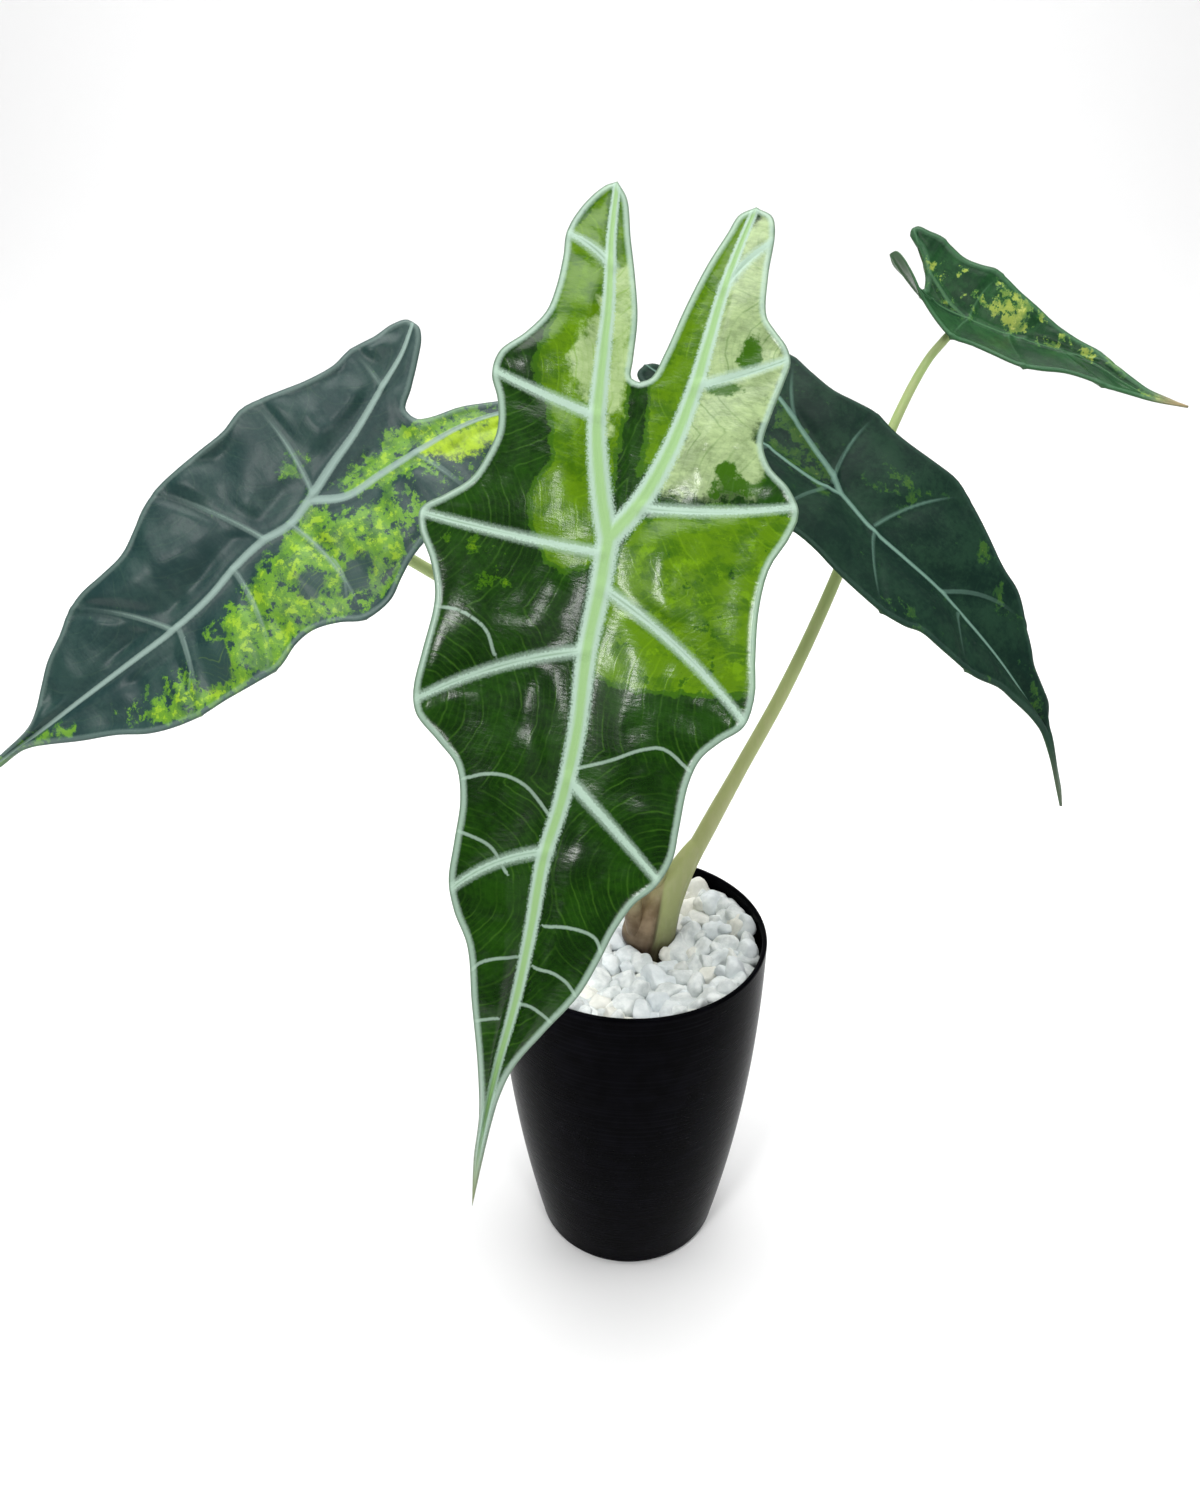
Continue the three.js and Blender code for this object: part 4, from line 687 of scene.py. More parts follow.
# Distance from an outline, above zero inside it
def signed_inside(points, outline):
    corners = np.asarray(outline, float)
    inside = np.zeros(len(points), bool)
    nearest = np.full(len(points), 1e9)
    x, y = points[:, 0], points[:, 1]
    for a, b in zip(corners, np.roll(corners, -1, axis=0)):
        crosses = (a[1] > y) != (b[1] > y)
        rise = b[1] - a[1] if abs(b[1] - a[1]) > 1e-9 else 1e-9
        inside ^= crosses & (x < (b[0] - a[0]) * (y - a[1]) / rise + a[0])
        way = b - a
        t = np.clip(((points - a) @ way) / (way @ way), 0, 1)
        nearest = np.minimum(nearest, np.linalg.norm(points - (a + t[:, None] * way), axis=1))
    return np.where(inside, nearest, -nearest)


def patch_depth(points, outlines):
    depth = np.full(len(points), -30.0)
    for outline in outlines:
        depth = np.maximum(depth, signed_inside(points, outline))
    return depth


# The flat grid of a whole leaf, welded where its rows share points
class Grid:
    def __init__(self):
        self.index = {}
        self.flat, self.wave, self.faces = [], [], []

    def strip(self, flat, wave, flip):
        rows, columns = flat.shape[:2]
        numbers = np.empty((rows, columns), int)
        for r in range(rows):
            for c in range(columns):
                key = (round(flat[r, c, 0] * 100), round(flat[r, c, 1] * 100))
                if key not in self.index:
                    self.index[key] = len(self.flat)
                    self.flat.append(flat[r, c])
                    self.wave.append(wave[r, c])
                numbers[r, c] = self.index[key]
        for r in range(rows - 1):
            for c in range(columns - 1):
                corners = [numbers[r, c], numbers[r, c + 1], numbers[r + 1, c + 1], numbers[r + 1, c]]
                face = [int(n) for i, n in enumerate(corners) if n != corners[i - 1]]
                if len(set(face)) > 2:
                    self.faces.append(face[::-1] if flip else face)


def leaf_grid(sheet, columns):
    grid = Grid()
    notch = np.array(sheet.leaf["sinus"], float)
    notch_length = np.linalg.norm(notch)
    centre_steps = int(notch_length / GRID_STEP)
    centre = np.linspace(0, 1, centre_steps + 1)[:, None] * notch
    for side in ("left", "right"):
        half = Half(sheet, side)
        inner_steps = int(half.inner.total / GRID_STEP)
        inner = half.inner.at(np.linspace(0, half.inner.total, inner_steps + 1)[1:])[:, :2]
        reach = np.concatenate([
            np.linspace(0, notch_length, centre_steps + 1),
            notch_length + half.inner.total * np.arange(1, inner_steps + 1) / inner_steps,
        ])
        midrib_at = np.linspace(0, half.junction_at, int(half.junction_at / GRID_STEP) + 1)
        lobe_at = half.junction_at + (half.axis.total - half.junction_at) * reach / reach[-1]
        flat, wave = half.outer_rows(np.concatenate([midrib_at, lobe_at[1:]]), columns)
        grid.strip(flat, wave, side == "left")
        flat = half.inner_rows(lobe_at, np.vstack([centre, inner]), max(columns // 2, 8))
        grid.strip(flat, np.zeros(flat.shape[:2]), side == "right")
    return grid


# Distance to the midrib and the two lobe ribs, in rib widths, and the width next to each point
def rib_field(sheet, points):
    samples, widths = [], []
    for side in ("left", "right"):
        half = Half(sheet, side)
        at = np.arange(0, half.axis.total, 0.4)
        samples.append(half.axis.at(at)[:, :2])
        widths.append(half.rib_half(at))
    widths = np.concatenate(widths)
    distance, nearest = distance_to(points, np.vstack(samples))
    return distance / widths[nearest], widths[nearest] / sheet.leaf["rib_half"][1]


def vein_field(leaf, points):
    samples, widths = [], []
    t = np.linspace(0, 1, 80)
    for side in ("left", "right"):
        for start, end, arch in leaf[side]["veins"]:
            samples.append(bent(start, end, arch, t))
            widths.append(mix(*VEIN_HALF, t) * (leaf["rib_half"][1] / WIDEST_RIB))
    distance, nearest = distance_to(points, np.vstack(samples))
    return distance / np.concatenate(widths)[nearest]


# Distance to the small side veins, and the same with a sign that tells their two sides apart
def minor_field(leaf, points):
    if not leaf["minor"]:
        return np.full(len(points), 9.0), np.full(len(points), 9.0)
    places, ways = [], []
    for line in leaf["minor"]:
        path = Line(curved(line))
        places.append(path.at(np.arange(0, path.total, 0.25)))
        ways.append(np.gradient(places[-1], axis=0))
    places, ways = np.vstack(places), np.vstack(ways)
    distance, nearest = distance_to(points, places)
    way, off = ways[nearest], points - places[nearest]
    side = way[:, 0] * off[:, 1] - way[:, 1] * off[:, 0]
    return distance, distance * np.where(side < 0, -1, 1)


def leaf_object(name, columns):
    leaf = LEAVES[name]
    sheet = Sheet(leaf)
    grid = leaf_grid(sheet, columns)
    flat = np.array(grid.flat)
    x, y = flat[:, 0], flat[:, 1]
    rim = np.vstack([
        Line(curved(leaf[side][part])).at(np.arange(0, 400, 0.3))[:, :2]
        for side in ("left", "right") for part in ("outer", "inner")
    ])
    edge, _ = distance_to(flat, rim)
    rib, rib_size = rib_field(sheet, flat)
    vein = vein_field(leaf, flat)
    minor, minor_side = minor_field(leaf, flat)
    vein_ends = [end for side in ("left", "right") for _, end, _ in leaf[side]["veins"]]
    arcs, _ = distance_to(flat, vein_ends)

    # Relief: ribs and veins raised, the blade between them quilted and finely wrinkled
    away = smooth((np.minimum(rib, vein) - 1) / 2) * smooth(edge / 4)
    wrinkle = leaf["crumple"] * (value_noise(x, y, 13, 3) + 0.35 * value_noise(x * 0.7, y * 1.3, 6, 4))
    wrinkle += FINE_WRINKLE * value_noise(x * 1.5, y, 4, 5)
    ridges = -ARC_DEPTH * np.exp(-(((arcs / ARC_PITCH) % 1 - 0.5) / 0.2) ** 2)
    over = (MIDRIB_TOP * rib_size + 0.1) * smooth(1.15 - rib) + VEIN_TOP * smooth(1.2 - vein)
    groove = GROOVE_DEPTH * np.exp(-(rib / 0.22) ** 2) * smooth(y / 8)
    roll = ROLL_HEIGHT * np.exp(-((edge - 0.9) / 0.6) ** 2)
    lift = np.array(grid.wave) + away * (wrinkle + ridges)
    thick = mix(EDGE_THICKNESS, BLADE_THICKNESS, smooth(edge / 1.2)) / 2
    under = MIDRIB_UNDER * rib_size ** 2 * smooth(1.1 - rib) + VEIN_UNDER * smooth(1.1 - vein)
    base, normal = sheet.base(x, y), sheet.normal(x, y)
    top = base + normal * (lift + thick + over - groove + roll)[:, None]
    bottom = base + normal * (lift - thick - under + 0.5 * roll)[:, None]

    # The underside mirrors the top's faces, and a wall joins them along the open edges
    count = len(flat)
    edges = set()
    faces = list(grid.faces)
    for face in grid.faces:
        edges.update(zip(face, face[1:] + face[:1]))
        faces.append([corner + count for corner in reversed(face)])
    for a, b in edges:
        if (b, a) not in edges:
            faces.append([b, a, a + count, b + count])
    piece = new_piece(f"leaf_{name}_look", np.vstack([top, bottom]), faces)

    # Distances for the material, and the flat place with 1 as its third number on the underside
    fields = {
        "rib": rib, "vein": vein, "edge": edge, "minor": minor, "minor_side": minor_side,
        "arcs": arcs / ARC_PITCH, **{key: patch_depth(flat, leaf[key]) for key in PATCHES},
    }
    for key, values in fields.items():
        store(piece, key, np.tile(np.minimum(values, FAR), 2))
    place = np.zeros((2 * count, 3), np.float32)
    place[:, :2] = np.tile(flat, (2, 1))
    place[count:, 2] = 1
    layer = piece.data.attributes.new("flat", "FLOAT_VECTOR", "POINT")
    layer.data.foreach_set("vector", place.ravel())
    return piece


# A socket of a node material that takes plain arithmetic
class Value:
    def __init__(self, look, socket):
        self.look = look
        self.socket = socket

    def __add__(self, other):
        return self.look.math("ADD", self, other)

    def __sub__(self, other):
        return self.look.math("SUBTRACT", self, other)

    def __rsub__(self, other):
        return self.look.math("SUBTRACT", other, self)

    def __mul__(self, other):
        return self.look.math("MULTIPLY", self, other)

    def __truediv__(self, other):
        return self.look.math("DIVIDE", self, other)


# A node material
class Look:
    def __init__(self, name, roughness, specular):
        self.material = bpy.data.materials.new(name)
        self.material.use_nodes = True
        self.tree = self.material.node_tree
        self.shader = self.tree.nodes["Principled BSDF"]
        self.shader.inputs["Roughness"].default_value = roughness
        self.shader.inputs["Specular IOR Level"].default_value = specular

    def put(self, socket, value):
        if isinstance(value, Value):
            self.tree.links.new(value.socket, socket)
        else:
            socket.default_value = value

    # A new node with its settings and inputs, whose one output is the value
    def node(self, kind, inputs, output=0, **settings):
        node = self.tree.nodes.new(f"ShaderNode{kind}")
        for key, value in settings.items():
            setattr(node, key, value)
        for key, value in inputs.items():
            self.put(node.inputs[key], value)
        return Value(self, node.outputs[output])

    def math(self, operation, a, b=0):
        return self.node("Math", {0: a, 1: b}, operation=operation)

    def field(self, name, output="Fac"):
        return self.node("Attribute", {}, output, attribute_name=name)

    def place(self):
        return self.node("TexCoord", {}, "Object")

    def part(self, vector, axis):
        return self.node("SeparateXYZ", {0: vector}, axis)

    def noise(self, vector, scale, detail=3, roughness=0.55):
        inputs = {"Vector": vector, "Scale": scale, "Detail": detail, "Roughness": roughness}
        return self.node("TexNoise", inputs, "Fac")

    def stretch(self, vector, scale):
        return self.node("Mapping", {"Vector": vector, "Scale": scale})

    # From 0 to 1 as value goes from low to high, and from 1 to 0
    def step(self, value, low, high):
        inputs = {"Value": value, "From Min": low, "From Max": high}
        return self.node("MapRange", inputs, "Result", interpolation_type="SMOOTHSTEP")

    def drop(self, value, low, high):
        return 1 - self.step(value, low, high)

    def blend(self, share, a, b):
        node = self.tree.nodes.new("ShaderNodeMix")
        node.data_type = "RGBA"
        self.put(node.inputs["Factor"], share)
        colours = [socket for socket in node.inputs if socket.type == "RGBA"]
        self.put(colours[0], a)
        self.put(colours[1], b)
        return Value(self, next(socket for socket in node.outputs if socket.type == "RGBA"))

    def bump(self, height, strength, distance):
        self.put(self.shader.inputs["Normal"], self.node(
            "Bump", {"Height": height, "Strength": strength, "Distance": distance}, "Normal"))

    def colour(self, value):
        self.put(self.shader.inputs["Base Color"], value)

    def rough(self, value):
        self.put(self.shader.inputs["Roughness"], value)


def leaf_look(name):
    shades = LEAF_LOOKS[name]
    look = Look(f"leaf_{name}", shades["gloss"], shades["shine"])
    flat = look.field("flat", "Vector")
    crosswise = look.stretch(flat, (1, 2.6, 1))
    edge = look.field("edge")
    broad = look.noise(flat, 0.07)
    fine = look.noise(flat, 0.6, 4, 0.65)
    grain = look.noise(flat, 1.6)
    cloud = look.noise(flat, shades["scale"], 8, 0.7)

    # Ground green, then lime patches in three steps with broken edges
    colour = look.blend(look.step(broad * 0.6 + fine * 0.4, 0.4, 0.62), shades["deep"], shades["green"])
    mottle = look.step(look.field("mottle"), -2, 3)
    depth = look.math("MAXIMUM", look.field("lime") * 0.2, mottle * 0.5 - 1)
    depth = look.math("MINIMUM", depth, 1 - mottle * 0.4)
    depth = depth + (cloud - 0.5) * (mottle * 4 + shades["ragged"]) + shades["cover"]
    colour = look.blend(look.step(depth, -0.2, -0.1), colour, shades["middle"])
    lime = look.step(depth, 0.03, 0.13)
    shaded = look.step(look.noise(look.stretch(flat, (1, 1.6, 1)), 0.11, 6, 0.65), 0.46, 0.6)
    colour = look.blend(lime, colour, look.blend(shaded * 0.75, shades["lime"], shades["middle"]))
    bright = look.step(depth + grain * 0.3, 0.95, 1.5)
    colour = look.blend(bright * 0.8, colour, shades["bright"])

    # Pale panels: the leaf's own pale variegation, with painted silky sheen in cross streaks over it, and
    # dark islands
    ragged = (cloud - 0.5) * 14
    pale = look.step(look.field("pale") + ragged, -1.5, 1.5)
    sheen_streaks = look.step(look.noise(crosswise, 0.4, 6, 0.7), 0.3, 0.7)
    cream = look.step(cloud, 0.36, 0.62)
    colour = look.blend(pale * (sheen_streaks * 0.22 + cream * 0.3 + 0.44), colour, shades["pale"])
    dark = look.step(look.field("dark") + ragged, -0.8, 0.8)
    colour = look.blend(dark, colour, look.blend(pale, shades["green"], shades["middle"]))

    # Fine veins as nested arcs, and finer ones between them
    wander = look.field("arcs") + broad * 1.2
    arc_line = look.drop(look.math("ABSOLUTE", look.math("FRACT", wander) - 0.5), 0, 0.1)
    hair_line = look.drop(look.math("ABSOLUTE", look.math("FRACT", wander * 3) - 0.5), 0, 0.22)
    lines = (arc_line * 0.8 + hair_line * 0.35) * (look.step(look.noise(flat, 0.09), 0.4, 0.6) + 0.35)
    line_shade = look.blend(lime, shades["line"], shades["bright"])
    colour = look.blend(lines * shades["line_share"], colour, line_shade)

    # Silvery side veins with feathered sides, and the ribs
    feather = (look.noise(flat, 2, 5, 0.75) - 0.45) * shades["feather"]
    vein = look.field("vein") / shades["slim"] - feather
    minor = look.math("ABSOLUTE", look.field("minor_side")) - feather * 0.3
    thin = look.drop(minor, 0.15, 0.55) * look.drop(look.field("minor"), 0.7, 1.3)
    veins = look.math("MAXIMUM", look.drop(vein, 0.3, 0.75), thin * 0.6)
    veins = look.math("MAXIMUM", look.drop(vein, 0.5, 1.35) * 0.5, veins)
    veins = veins * shades["vein_share"] * look.step(edge, *shades["fade"])
    # Painted shade of a groove: a darker line along the middle of each side vein
    groove = look.drop(look.field("vein"), 0.02, 0.3)
    colour = look.blend(veins, colour, look.blend(groove * 0.4, shades["vein"], shades["middle"]))
    rib = look.field("rib") / shades["slim"]
    rib_side = look.drop(rib - feather, 0.6, 1.05) * (0.95 * shades["vein_share"])
    colour = look.blend(rib_side, colour, shades["vein"])
    strands = look.noise(look.stretch(flat, (4, 0.15, 1)), 0.6)
    rib_middle = look.drop(rib + strands * 0.3, 0.35, 0.8) * (0.85 * shades["vein_share"])
    colour = look.blend(rib_middle, colour, shades["rib"])

    # Pale rolled edge with a darker line outside it, and the drying tip
    band = look.drop(edge + grain * 0.5, 1.2, 2.2)
    colour = look.blend(band * shades["edge_share"], colour, shades["vein"])
    colour = look.blend(look.drop(edge, 0.2, 0.6) * 0.5, colour, shades["green"])
    tip = LEAVES[name]["midrib"][-1][1]
    tail = look.drop(look.part(flat, "Y"), tip, tip + shades["tip_length"])
    colour = look.blend(tail * 0.8, colour, shades["tip"])

    # Paler, duller underside
    dull = look.blend(0.6, colour, UNDERSIDE)
    look.colour(look.blend(look.part(flat, "Z"), colour, dull))
    look.rough(look.math("MAXIMUM", veins, rib_side) * 0.25 + fine * 0.06 + shades["gloss"])
    look.bump(look.noise(flat, 0.55, 2) * 0.5 - lines * 0.12 + look.noise(crosswise, 0.4), 0.13, 0.0005)
    return look.material


# Pot
def pot_radius(height):
    up = height / POT_HEIGHT
    return BASE_RADIUS + (RIM_RADIUS - BASE_RADIUS) * (1 - (1 - up) ** 2)


def ring_bands(rings, sides, first=0):
    faces = []
    for r in range(rings - 1):
        for i in range(sides):
            a, b = first + r * sides + i, first + r * sides + (i + 1) % sides
            faces.append([a, b, b + sides, a + sides])
    return faces


# The shell's open middle is closed by the two faces of the floor, with walls down the drain holes
def close_floor(pot):
    shell = bmesh.new()
    shell.from_mesh(pot.data)
    levels = []
    for height in (0, POT_FLOOR * MM):
        rim = [vertex for vertex in shell.verts if vertex.is_boundary]
        rim = [vertex for vertex in rim if abs(vertex.co.z - height) < 1e-5]
        rim.sort(key=lambda vertex: math.atan2(vertex.co.y, vertex.co.x))
        rings = [rim]
        for turn in around(DRAIN_HOLES):
            middle = DRAIN_RING_RADIUS * MM * np.array([math.cos(turn), math.sin(turn)])
            ways = [np.array([math.cos(a), math.sin(a)]) for a in around(DRAIN_SIDES)]
            rings.append([shell.verts.new((*(middle + DRAIN_RADIUS * MM * way), height)) for way in ways])
        corners, owner, edges = [], [], []
        for number, ring in enumerate(rings):
            edges += [(len(corners) + i, len(corners) + (i + 1) % len(ring)) for i in range(len(ring))]
            owner += [number] * len(ring)
            corners += ring
        flat = [corner.co.xy / MM for corner in corners]
        for face in delaunay_2d_cdt(flat, edges, [], 0, 1e-6)[2]:
            owners = {owner[index] for index in face}
            if len(owners) > 1 or 0 in owners:
                shell.faces.new([corners[index] for index in face])
        levels.append(rings[1:])
    for low, high in zip(*levels):
        for i in range(DRAIN_SIDES):
            shell.faces.new((low[i - 1], low[i], high[i], high[i - 1]))
    bmesh.ops.recalc_face_normals(shell, faces=shell.faces)
    shell.to_mesh(pot.data)
    shell.free()


def make_pot():
    foot = BASE_RADIUS + FOOT_SPREAD - FOOT_ROUNDING
    lip = RIM_RADIUS - POT_WALL / 2
    profile = [(HUB_RADIUS, 0)]
    for turn in np.linspace(0, math.pi / 2, 7):
        profile.append((foot + FOOT_ROUNDING * math.sin(turn), FOOT_ROUNDING * (1 - math.cos(turn))))
    profile += [(pot_radius(z), z) for z in np.linspace(WALL_START, WALL_END, 40)]
    for turn in np.linspace(0, math.pi, 7):
        profile.append((lip + POT_WALL / 2 * math.cos(turn), POT_HEIGHT - LIP_RISE * (1 - math.sin(turn))))
    inside = np.linspace(INSIDE_START, POT_FLOOR + INSIDE_ROUNDING, 30)
    profile += [(pot_radius(z) - POT_WALL, z) for z in inside]
    profile += [(pot_radius(POT_FLOOR) - POT_WALL - INSIDE_ROUNDING, POT_FLOOR), (HUB_RADIUS, POT_FLOOR)]
    points = [(r * math.cos(a), r * math.sin(a), z) for r, z in profile for a in around(POT_SIDES)]
    pot = new_piece("pot_look", points, ring_bands(len(profile), POT_SIDES))
    close_floor(pot)
    return pot


def pot_look():
    look = Look("black_satin_plastic", 0.3, 0.012)
    place = look.place()
    rings = look.noise(look.stretch(place, (2, 2, 900)), 1, 4, 0.6)
    dust = look.noise(place, 160, 4)
    shade = look.step((rings + dust) * 0.5, 0.4, 0.65)
    look.colour(look.blend(shade, (0.001, 0.001, 0.0015, 1), (0.0025, 0.0025, 0.004, 1)))
    look.rough(rings * 0.14 + 0.2)
    look.bump(rings, 0.1, 0.0002)
    return look.material


# Pebbles
def seeded_draw(seed):
    state = seed
    while True:
        state = (state * 1664525 + 1013904223) % 4294967296
        yield state / 4294967296


# The draws for a stone's flats and corners belong to the solids, and are only passed over here
def pebble_places():
    draw = seeded_draw(PEBBLE_SEED)
    limit = PEBBLE_RING_LIMIT
    reach = math.ceil(limit / PEBBLE_PITCH) + 1
    for row in range(-reach, reach + 1):
        for column in range(-reach, reach + 1):
            radius = mix(*PEBBLE_RADIUS, next(draw))
            for _ in range(SIZE_DRAWS):
                next(draw)
            jitter = [width * (next(draw) - 0.5) for width in PEBBLE_JITTER]
            x = PEBBLE_PITCH * (column + (row & 1) / 2) + jitter[0] + PEBBLE_SHIFT[0]
            y = PEBBLE_PITCH * row * math.sqrt(0.75) + jitter[1] + PEBBLE_SHIFT[1]
            middle = math.hypot(x, y)
            stem = math.hypot(x - STEM_CENTRE[0], y - STEM_CENTRE[1])
            if middle > limit + PEBBLE_OVERSHOOT or stem < STONE_FREE_RADIUS:
                continue
            pull = min(1, (limit - PEBBLE_EDGE_PLAY * next(draw)) / middle)
            for _ in range(CORNER_DRAWS):
                next(draw)
            rise = PEBBLE_RISE * (math.hypot(x * pull, y * pull) / limit) ** 2
            yield x * pull, y * pull, PEBBLE_CENTRE_HEIGHT + rise + jitter[2], radius


def unit_ball(levels):
    ball = bmesh.new()
    bmesh.ops.create_icosphere(ball, subdivisions=levels, radius=1)
    points = np.array([vertex.co[:] for vertex in ball.verts])
    faces = np.array([[vertex.index for vertex in face.verts] for face in ball.faces])
    ball.free()
    return points, faces


# A stone is a ball cut by random flats, its edges worn and its skin uneven
def stone_points(ball, radius, rng):
    flats = rng.normal(size=(STONE_FLATS, 3))
    flats /= np.linalg.norm(flats, axis=1, keepdims=True)
    reach = rng.uniform(*FLAT_DEPTH, STONE_FLATS) / np.maximum(ball @ flats.T, 1e-3)
    nearness = np.sum(reach ** -EDGE_SHARPNESS, axis=1) + STONE_REACH ** -EDGE_SHARPNESS
    out = nearness ** (-1 / EDGE_SHARPNESS)
    waves = sum(np.sin(ball @ rng.normal(size=3) * f + rng.uniform(0, 6.28)) / f for f in SKIN_WAVES)
    out *= 1 + SKIN_DEPTH * waves
    scale = rng.uniform(*STONE_STRETCH)
    axis, _ = np.linalg.qr(rng.normal(size=(3, 3)))
    return (ball * out[:, None] * scale * radius * STONE_SWELL) @ axis.T


def keep_off_stem(stone):
    table = np.array(SHEATH, float)
    x, y, across, deep = (np.interp(stone[:, 2], table[:, 2], table[:, i]) for i in (0, 1, 3, 4))
    dx, dy = stone[:, 0] - x, stone[:, 1] - y
    depth = np.maximum(np.hypot(dx / (across + STEM_CLEARANCE), dy / (deep + STEM_CLEARANCE)), 1e-3)
    push = np.maximum(1, 1 / depth)
    return np.stack([x + dx * push, y + dy * push, stone[:, 2]], -1)


def moved(places, step, scale, radius=0):
    shifted = [(x + step[0], y + step[1], z + step[2], radius or r * scale) for x, y, z, r in places]
    return [place for place in shifted if math.hypot(place[0], place[1]) < ADDED_LIMIT]


# Stones below the upper layer, small ones between them, and a ring of them along the rim
def make_pebbles():
    rng = np.random.default_rng(PEBBLE_SEED)
    upper = list(pebble_places())
    added = moved(upper, LOWER_STEP, LOWER_SCALE) + moved(upper, SMALL_STEP, 1, SMALL_RADIUS)
    for turn in around(RIM_STONES):
        x, y = RIM_STONE_RING * math.cos(turn), RIM_STONE_RING * math.sin(turn)
        added.append((x, y, RIM_STONE_HEIGHT + RIM_STONE_WAVE * math.sin(5 * turn), RIM_STONE_RADIUS))
    points, faces, tones = [], [], []
    count = 0
    for layer, (ball, skin) in ((upper, unit_ball(4)), (added, unit_ball(3))):
        for x, y, z, radius in layer:
            stone = stone_points(ball, radius, rng) + (x, y, z)
            wall = pot_radius(np.minimum(stone[:, 2], POT_HEIGHT)) - POT_WALL - FIT_GAP
            out = np.hypot(stone[:, 0], stone[:, 1])
            stone[:, :2] *= np.minimum(1, wall / np.maximum(out, 1e-6))[:, None]
            stone[:, 2] = np.maximum(stone[:, 2], SOIL_TOP + FIT_GAP)
            points.append(keep_off_stem(stone))
            faces.append(skin + count)
            tones.append(np.full(len(stone), rng.random()))
            count += len(stone)
    piece = new_piece("pebbles_look", np.vstack(points), np.vstack(faces).tolist())
    store(piece, "tone", np.concatenate(tones))
    return piece


def pebble_look():
    look = Look("white_stone", 0.62, 0.35)
    place = look.place()
    tone = look.field("tone")
    cloud = look.noise(place, 220, 5, 0.6)
    colour = look.blend(look.step(cloud, 0.35, 0.65), (0.62, 0.66, 0.66, 1), (0.86, 0.89, 0.88, 1))
    colour = look.blend(look.step(tone, 0.7, 0.95) * 0.5, colour, (0.88, 0.84, 0.72, 1))
    look.colour(look.blend(look.drop(tone, 0.05, 0.3) * 0.5, colour, (0.74, 0.8, 0.84, 1)))
    look.rough(cloud * 0.35 + 0.45)
    look.bump(look.noise(place, 600, 6, 0.7), 0.6, 0.0006)
    return look.material


# Soil
def soil_look():
    look = Look("potting_soil", 0.95, 0.2)
    crumbs = look.noise(look.place(), 700, 5, 0.7)
    look.colour(look.blend(look.step(crumbs, 0.35, 0.65), (0.02, 0.012, 0.007, 1), (0.1, 0.065, 0.04, 1)))
    look.bump(crumbs, 0.8, 0.001)
    return look.material


# Stalks with the sheath at their foot
def closed_tube(rings, sides, first):
    bottom = [first + i for i in reversed(range(sides))]
    top = [first + (rings - 1) * sides + i for i in range(sides)]
    return [*ring_bands(rings, sides, first), bottom, top]


# Rings along a stalk, the last one cut to the blade's underside
def stalk_rings(points, sheet):
    centres = curved(points, 10)
    at = np.linspace(0, len(points) - 1, len(centres))
    radii = np.interp(at, np.arange(len(points)), [point[3] for point in points])
    facing = sheet.normal(np.zeros(1), np.zeros(1))[0]
    seat = sheet.junction - facing * (BLADE_THICKNESS / 2 + MIDRIB_UNDER + FIT_GAP)
    centres = np.vstack([centres, mix(centres[-1], seat, 0.5)[None], seat[None]])
    radii = np.concatenate([radii, radii[-1:], radii[-1:]])
    ways = np.gradient(centres, axis=0)
    ways /= np.linalg.norm(ways, axis=1, keepdims=True)
    sideways = np.array([1.0, 0, 0])
    cosines, sines = np.cos(around(STALK_SIDES)), np.sin(around(STALK_SIDES))
    rings = []
    for centre, way, radius in zip(centres, ways, radii):
        sideways = sideways - (sideways @ way) * way
        sideways /= np.linalg.norm(sideways)
        forward = np.cross(way, sideways)
        ring = np.multiply.outer(cosines, sideways) + np.multiply.outer(sines, forward)
        rings.append(centre + radius * ring)
    rings[-1] += ((seat - rings[-1]) @ facing / (ways[-1] @ facing))[:, None] * ways[-1]
    return rings


def sheath_rings():
    table = np.array(SHEATH, float)
    middles, widths = curved(table[:, :3], 10), curved(table[:, (3, 4, 2)], 10)
    below = np.linspace(STEM_FOOT, SOIL_TOP + 1, 5)
    above = np.linspace(SOIL_TOP + 2, table[-1, 2], 60)
    angles = around(SHEATH_SIDES)
    rings = []
    for z in (*below, *above):
        x, y = (np.interp(z, middles[:, 2], middles[:, i]) for i in (0, 1))
        across, deep = (np.interp(z, widths[:, 2], widths[:, i]) for i in (0, 1))
        fold = 1 + SHEATH_FOLD * smooth((z - 109) / 6) * np.sin(5 * angles + 1.3 + z / 14)
        ring_x, ring_y = x + across * fold * np.cos(angles), y + deep * fold * np.sin(angles)
        crease = CREASE_X + CREASE_LEAN * (z - CREASE_HEIGHT)
        groove = CREASE_DEPTH * np.exp(-((ring_x - crease) / CREASE_WIDTH) ** 2)
        ring_y += np.where(ring_y < y, groove * smooth((CREASE_TOP - z) / 12), 0)
        rings.append(np.stack([ring_x, ring_y, np.full(SHEATH_SIDES, z)], -1))
    return rings


def make_stalks():
    rings = sheath_rings()
    faces = closed_tube(len(rings), SHEATH_SIDES, 0)
    points = np.vstack(rings)
    for name, line in STALKS.items():
        rings = stalk_rings(line, Sheet(LEAVES[name]))
        faces += closed_tube(len(rings), STALK_SIDES, len(points))
        points = np.vstack([points, *rings])
    return new_piece("stalks_look", points, faces)


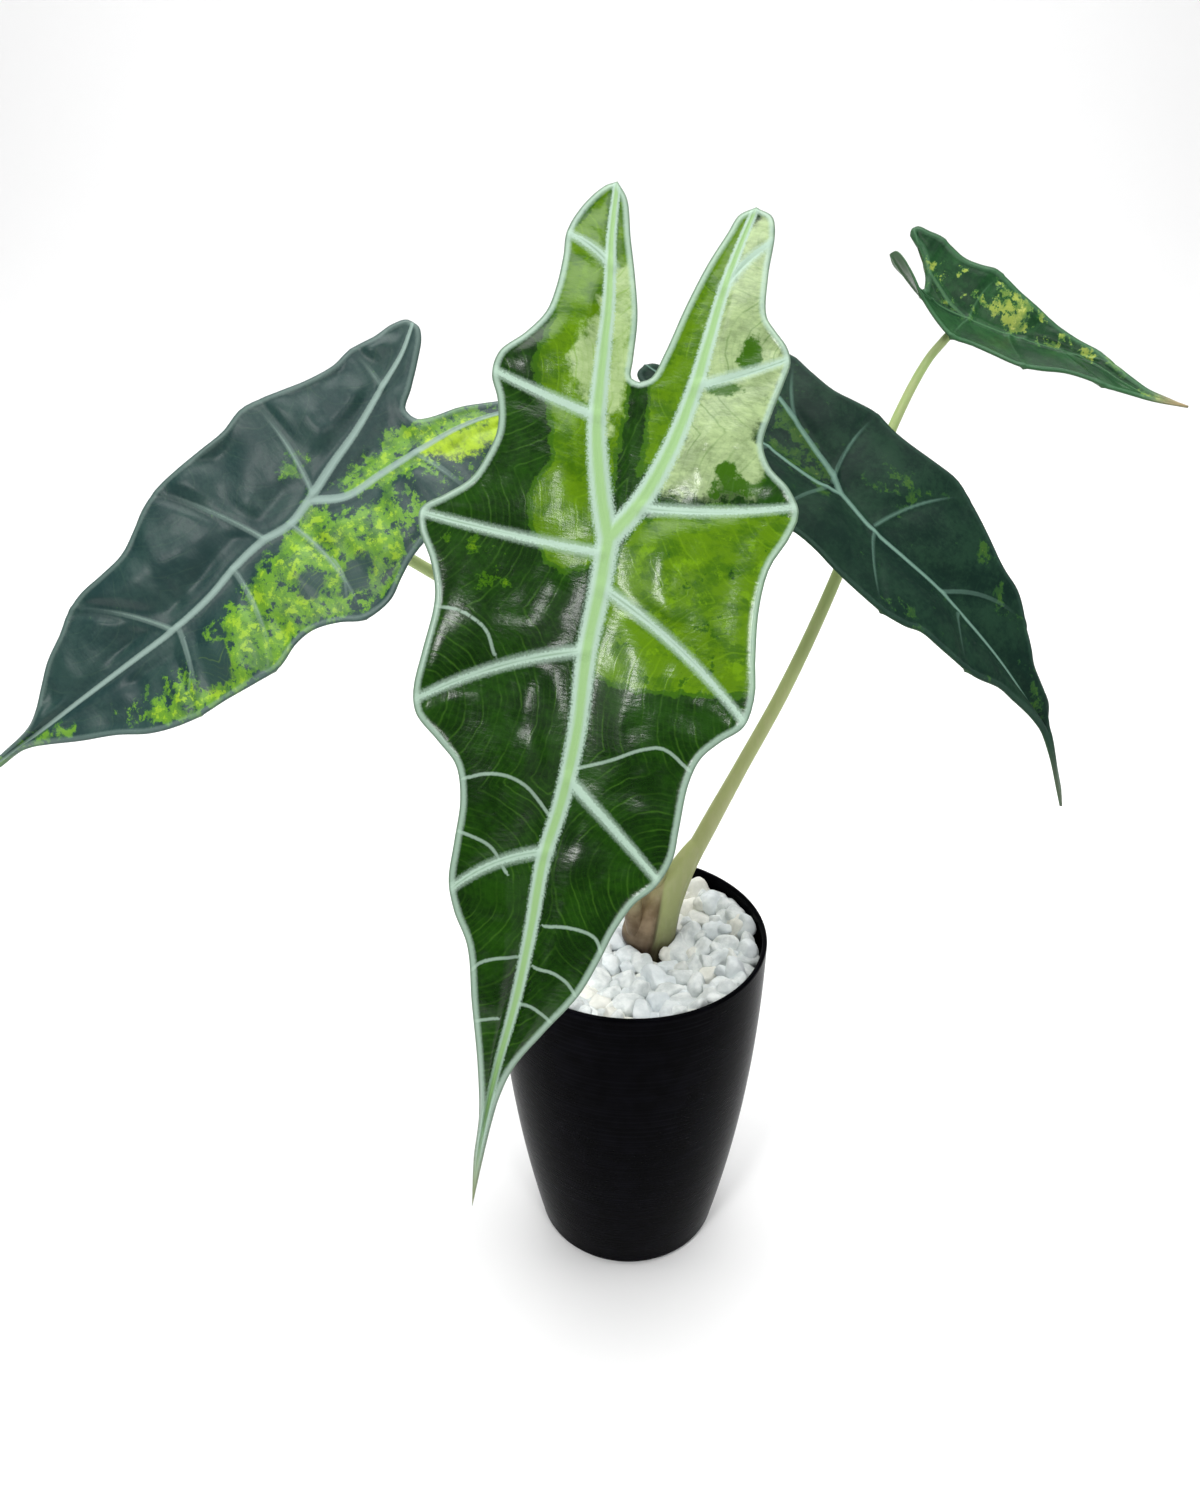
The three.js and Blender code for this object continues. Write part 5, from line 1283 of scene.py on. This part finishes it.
def stalk_look():
    look = Look("olive_stalk", 0.42, 0.3)
    place = look.place()
    height = look.part(place, "Z")
    streaks = look.noise(look.stretch(place, (500, 500, 40)), 1, 4)
    mottled = look.noise(place, 90, 4)
    colour = look.blend(look.step(height, 0.15, 0.29), (0.42, 0.46, 0.2, 1), (0.38, 0.5, 0.19, 1))
    colour = look.blend(look.step(streaks, 0.45, 0.62) * 0.3, colour, (0.5, 0.5, 0.28, 1))

    # Pinkish brown sheath left of the crease, green stalk right of it; painted shade darkens both toward
    # the stones and in a line low in the crease
    brown = look.blend(look.step(mottled, 0.4, 0.6), (0.17, 0.085, 0.055, 1), (0.36, 0.24, 0.165, 1))
    crease = (height - CREASE_HEIGHT * MM) * CREASE_LEAN + CREASE_X * MM
    beside = look.part(place, "X") - crease
    upward = height + mottled * 0.014
    brown_share = look.drop(beside, -0.0006, 0.0006) * look.drop(upward, 0.132, 0.158) * 0.85
    colour = look.blend(brown_share, colour, brown)
    # Painted shade: a dark line low in the crease, and near-black painted shadow where the stalks meet the
    # stones
    line = look.drop(look.math("ABSOLUTE", beside), 0.0002, 0.0012) * look.drop(height, 0.118, 0.136)
    shade = look.math("MAXIMUM", line * 0.8, look.drop(upward, 0.12, 0.137) * 0.92)
    look.colour(look.blend(shade, colour, (0.03, 0.017, 0.01, 1)))
    look.bump(streaks, 0.3, 0.0004)
    return look.material


# Floor that curves up into a backdrop
def make_floor():
    half_width, front, back, bend, height = 4000, -2500, 1600, 1000, 4000
    profile = [(front, 0), (back, 0)]
    for turn in np.linspace(0.1, math.pi / 2, 16):
        profile.append((back + bend * math.sin(turn), bend * (1 - math.cos(turn))))
    profile.append((back + bend, height))
    points = [(side * half_width, y, z) for y, z in profile for side in (-1, 1)]
    faces = [[2 * i, 2 * i + 1, 2 * i + 3, 2 * i + 2] for i in range(len(profile) - 1)]
    floor = new_piece("floor", points, faces)
    look = Look("pale_floor", 0.9, 0.1)
    look.colour((0.93, 0.93, 0.93, 1))
    floor.data.materials.append(look.material)


def make_lights():
    world = bpy.data.worlds.new("soft_room")
    world.use_nodes = True
    world.node_tree.nodes["Background"].inputs["Color"].default_value = (1, 1, 1, 1)
    world.node_tree.nodes["Background"].inputs["Strength"].default_value = WORLD_STRENGTH
    bpy.context.scene.world = world
    for name, place, target, width, power in LIGHTS:
        data = bpy.data.lights.new(name, "AREA")
        data.size = width
        data.energy = power
        light = bpy.data.objects.new(name, data)
        light.location = place
        light.rotation_euler = (Vector(target) - Vector(place)).to_track_quat("-Z", "Y").to_euler()
        bpy.context.scene.collection.objects.link(light)


def make_camera():
    data = bpy.data.cameras.new("camera")
    data.lens = CAMERA_LENS
    data.sensor_width = 36
    camera = bpy.data.objects.new("camera", data)
    camera.location = CAMERA_PLACE
    camera.rotation_euler = (math.radians(90 - CAMERA_PITCH), 0, 0)
    bpy.context.scene.collection.objects.link(camera)
    bpy.context.scene.camera = camera


def dress(piece, material, node):
    piece.data.materials.append(material)
    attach(piece, BODY)
    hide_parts(node)


bpy.context.scene.view_settings.view_transform = "Standard"
make_camera()
make_lights()
make_floor()
dress(make_pot(), pot_look(), "pot")
dress(make_pebbles(), pebble_look(), "white_pebbles")
dress(make_stalks(), stalk_look(), "stalks")
for leaf_name, field_columns in (("front", 38), ("left", 32), ("right", 30), ("upper", 24)):
    leaf_slot = f"leaf_{leaf_name}"
    dress(leaf_object(leaf_name, field_columns), leaf_look(leaf_name), leaf_slot)
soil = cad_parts["potting_soil"]
soil.data.materials.clear()
soil.data.materials.append(soil_look())
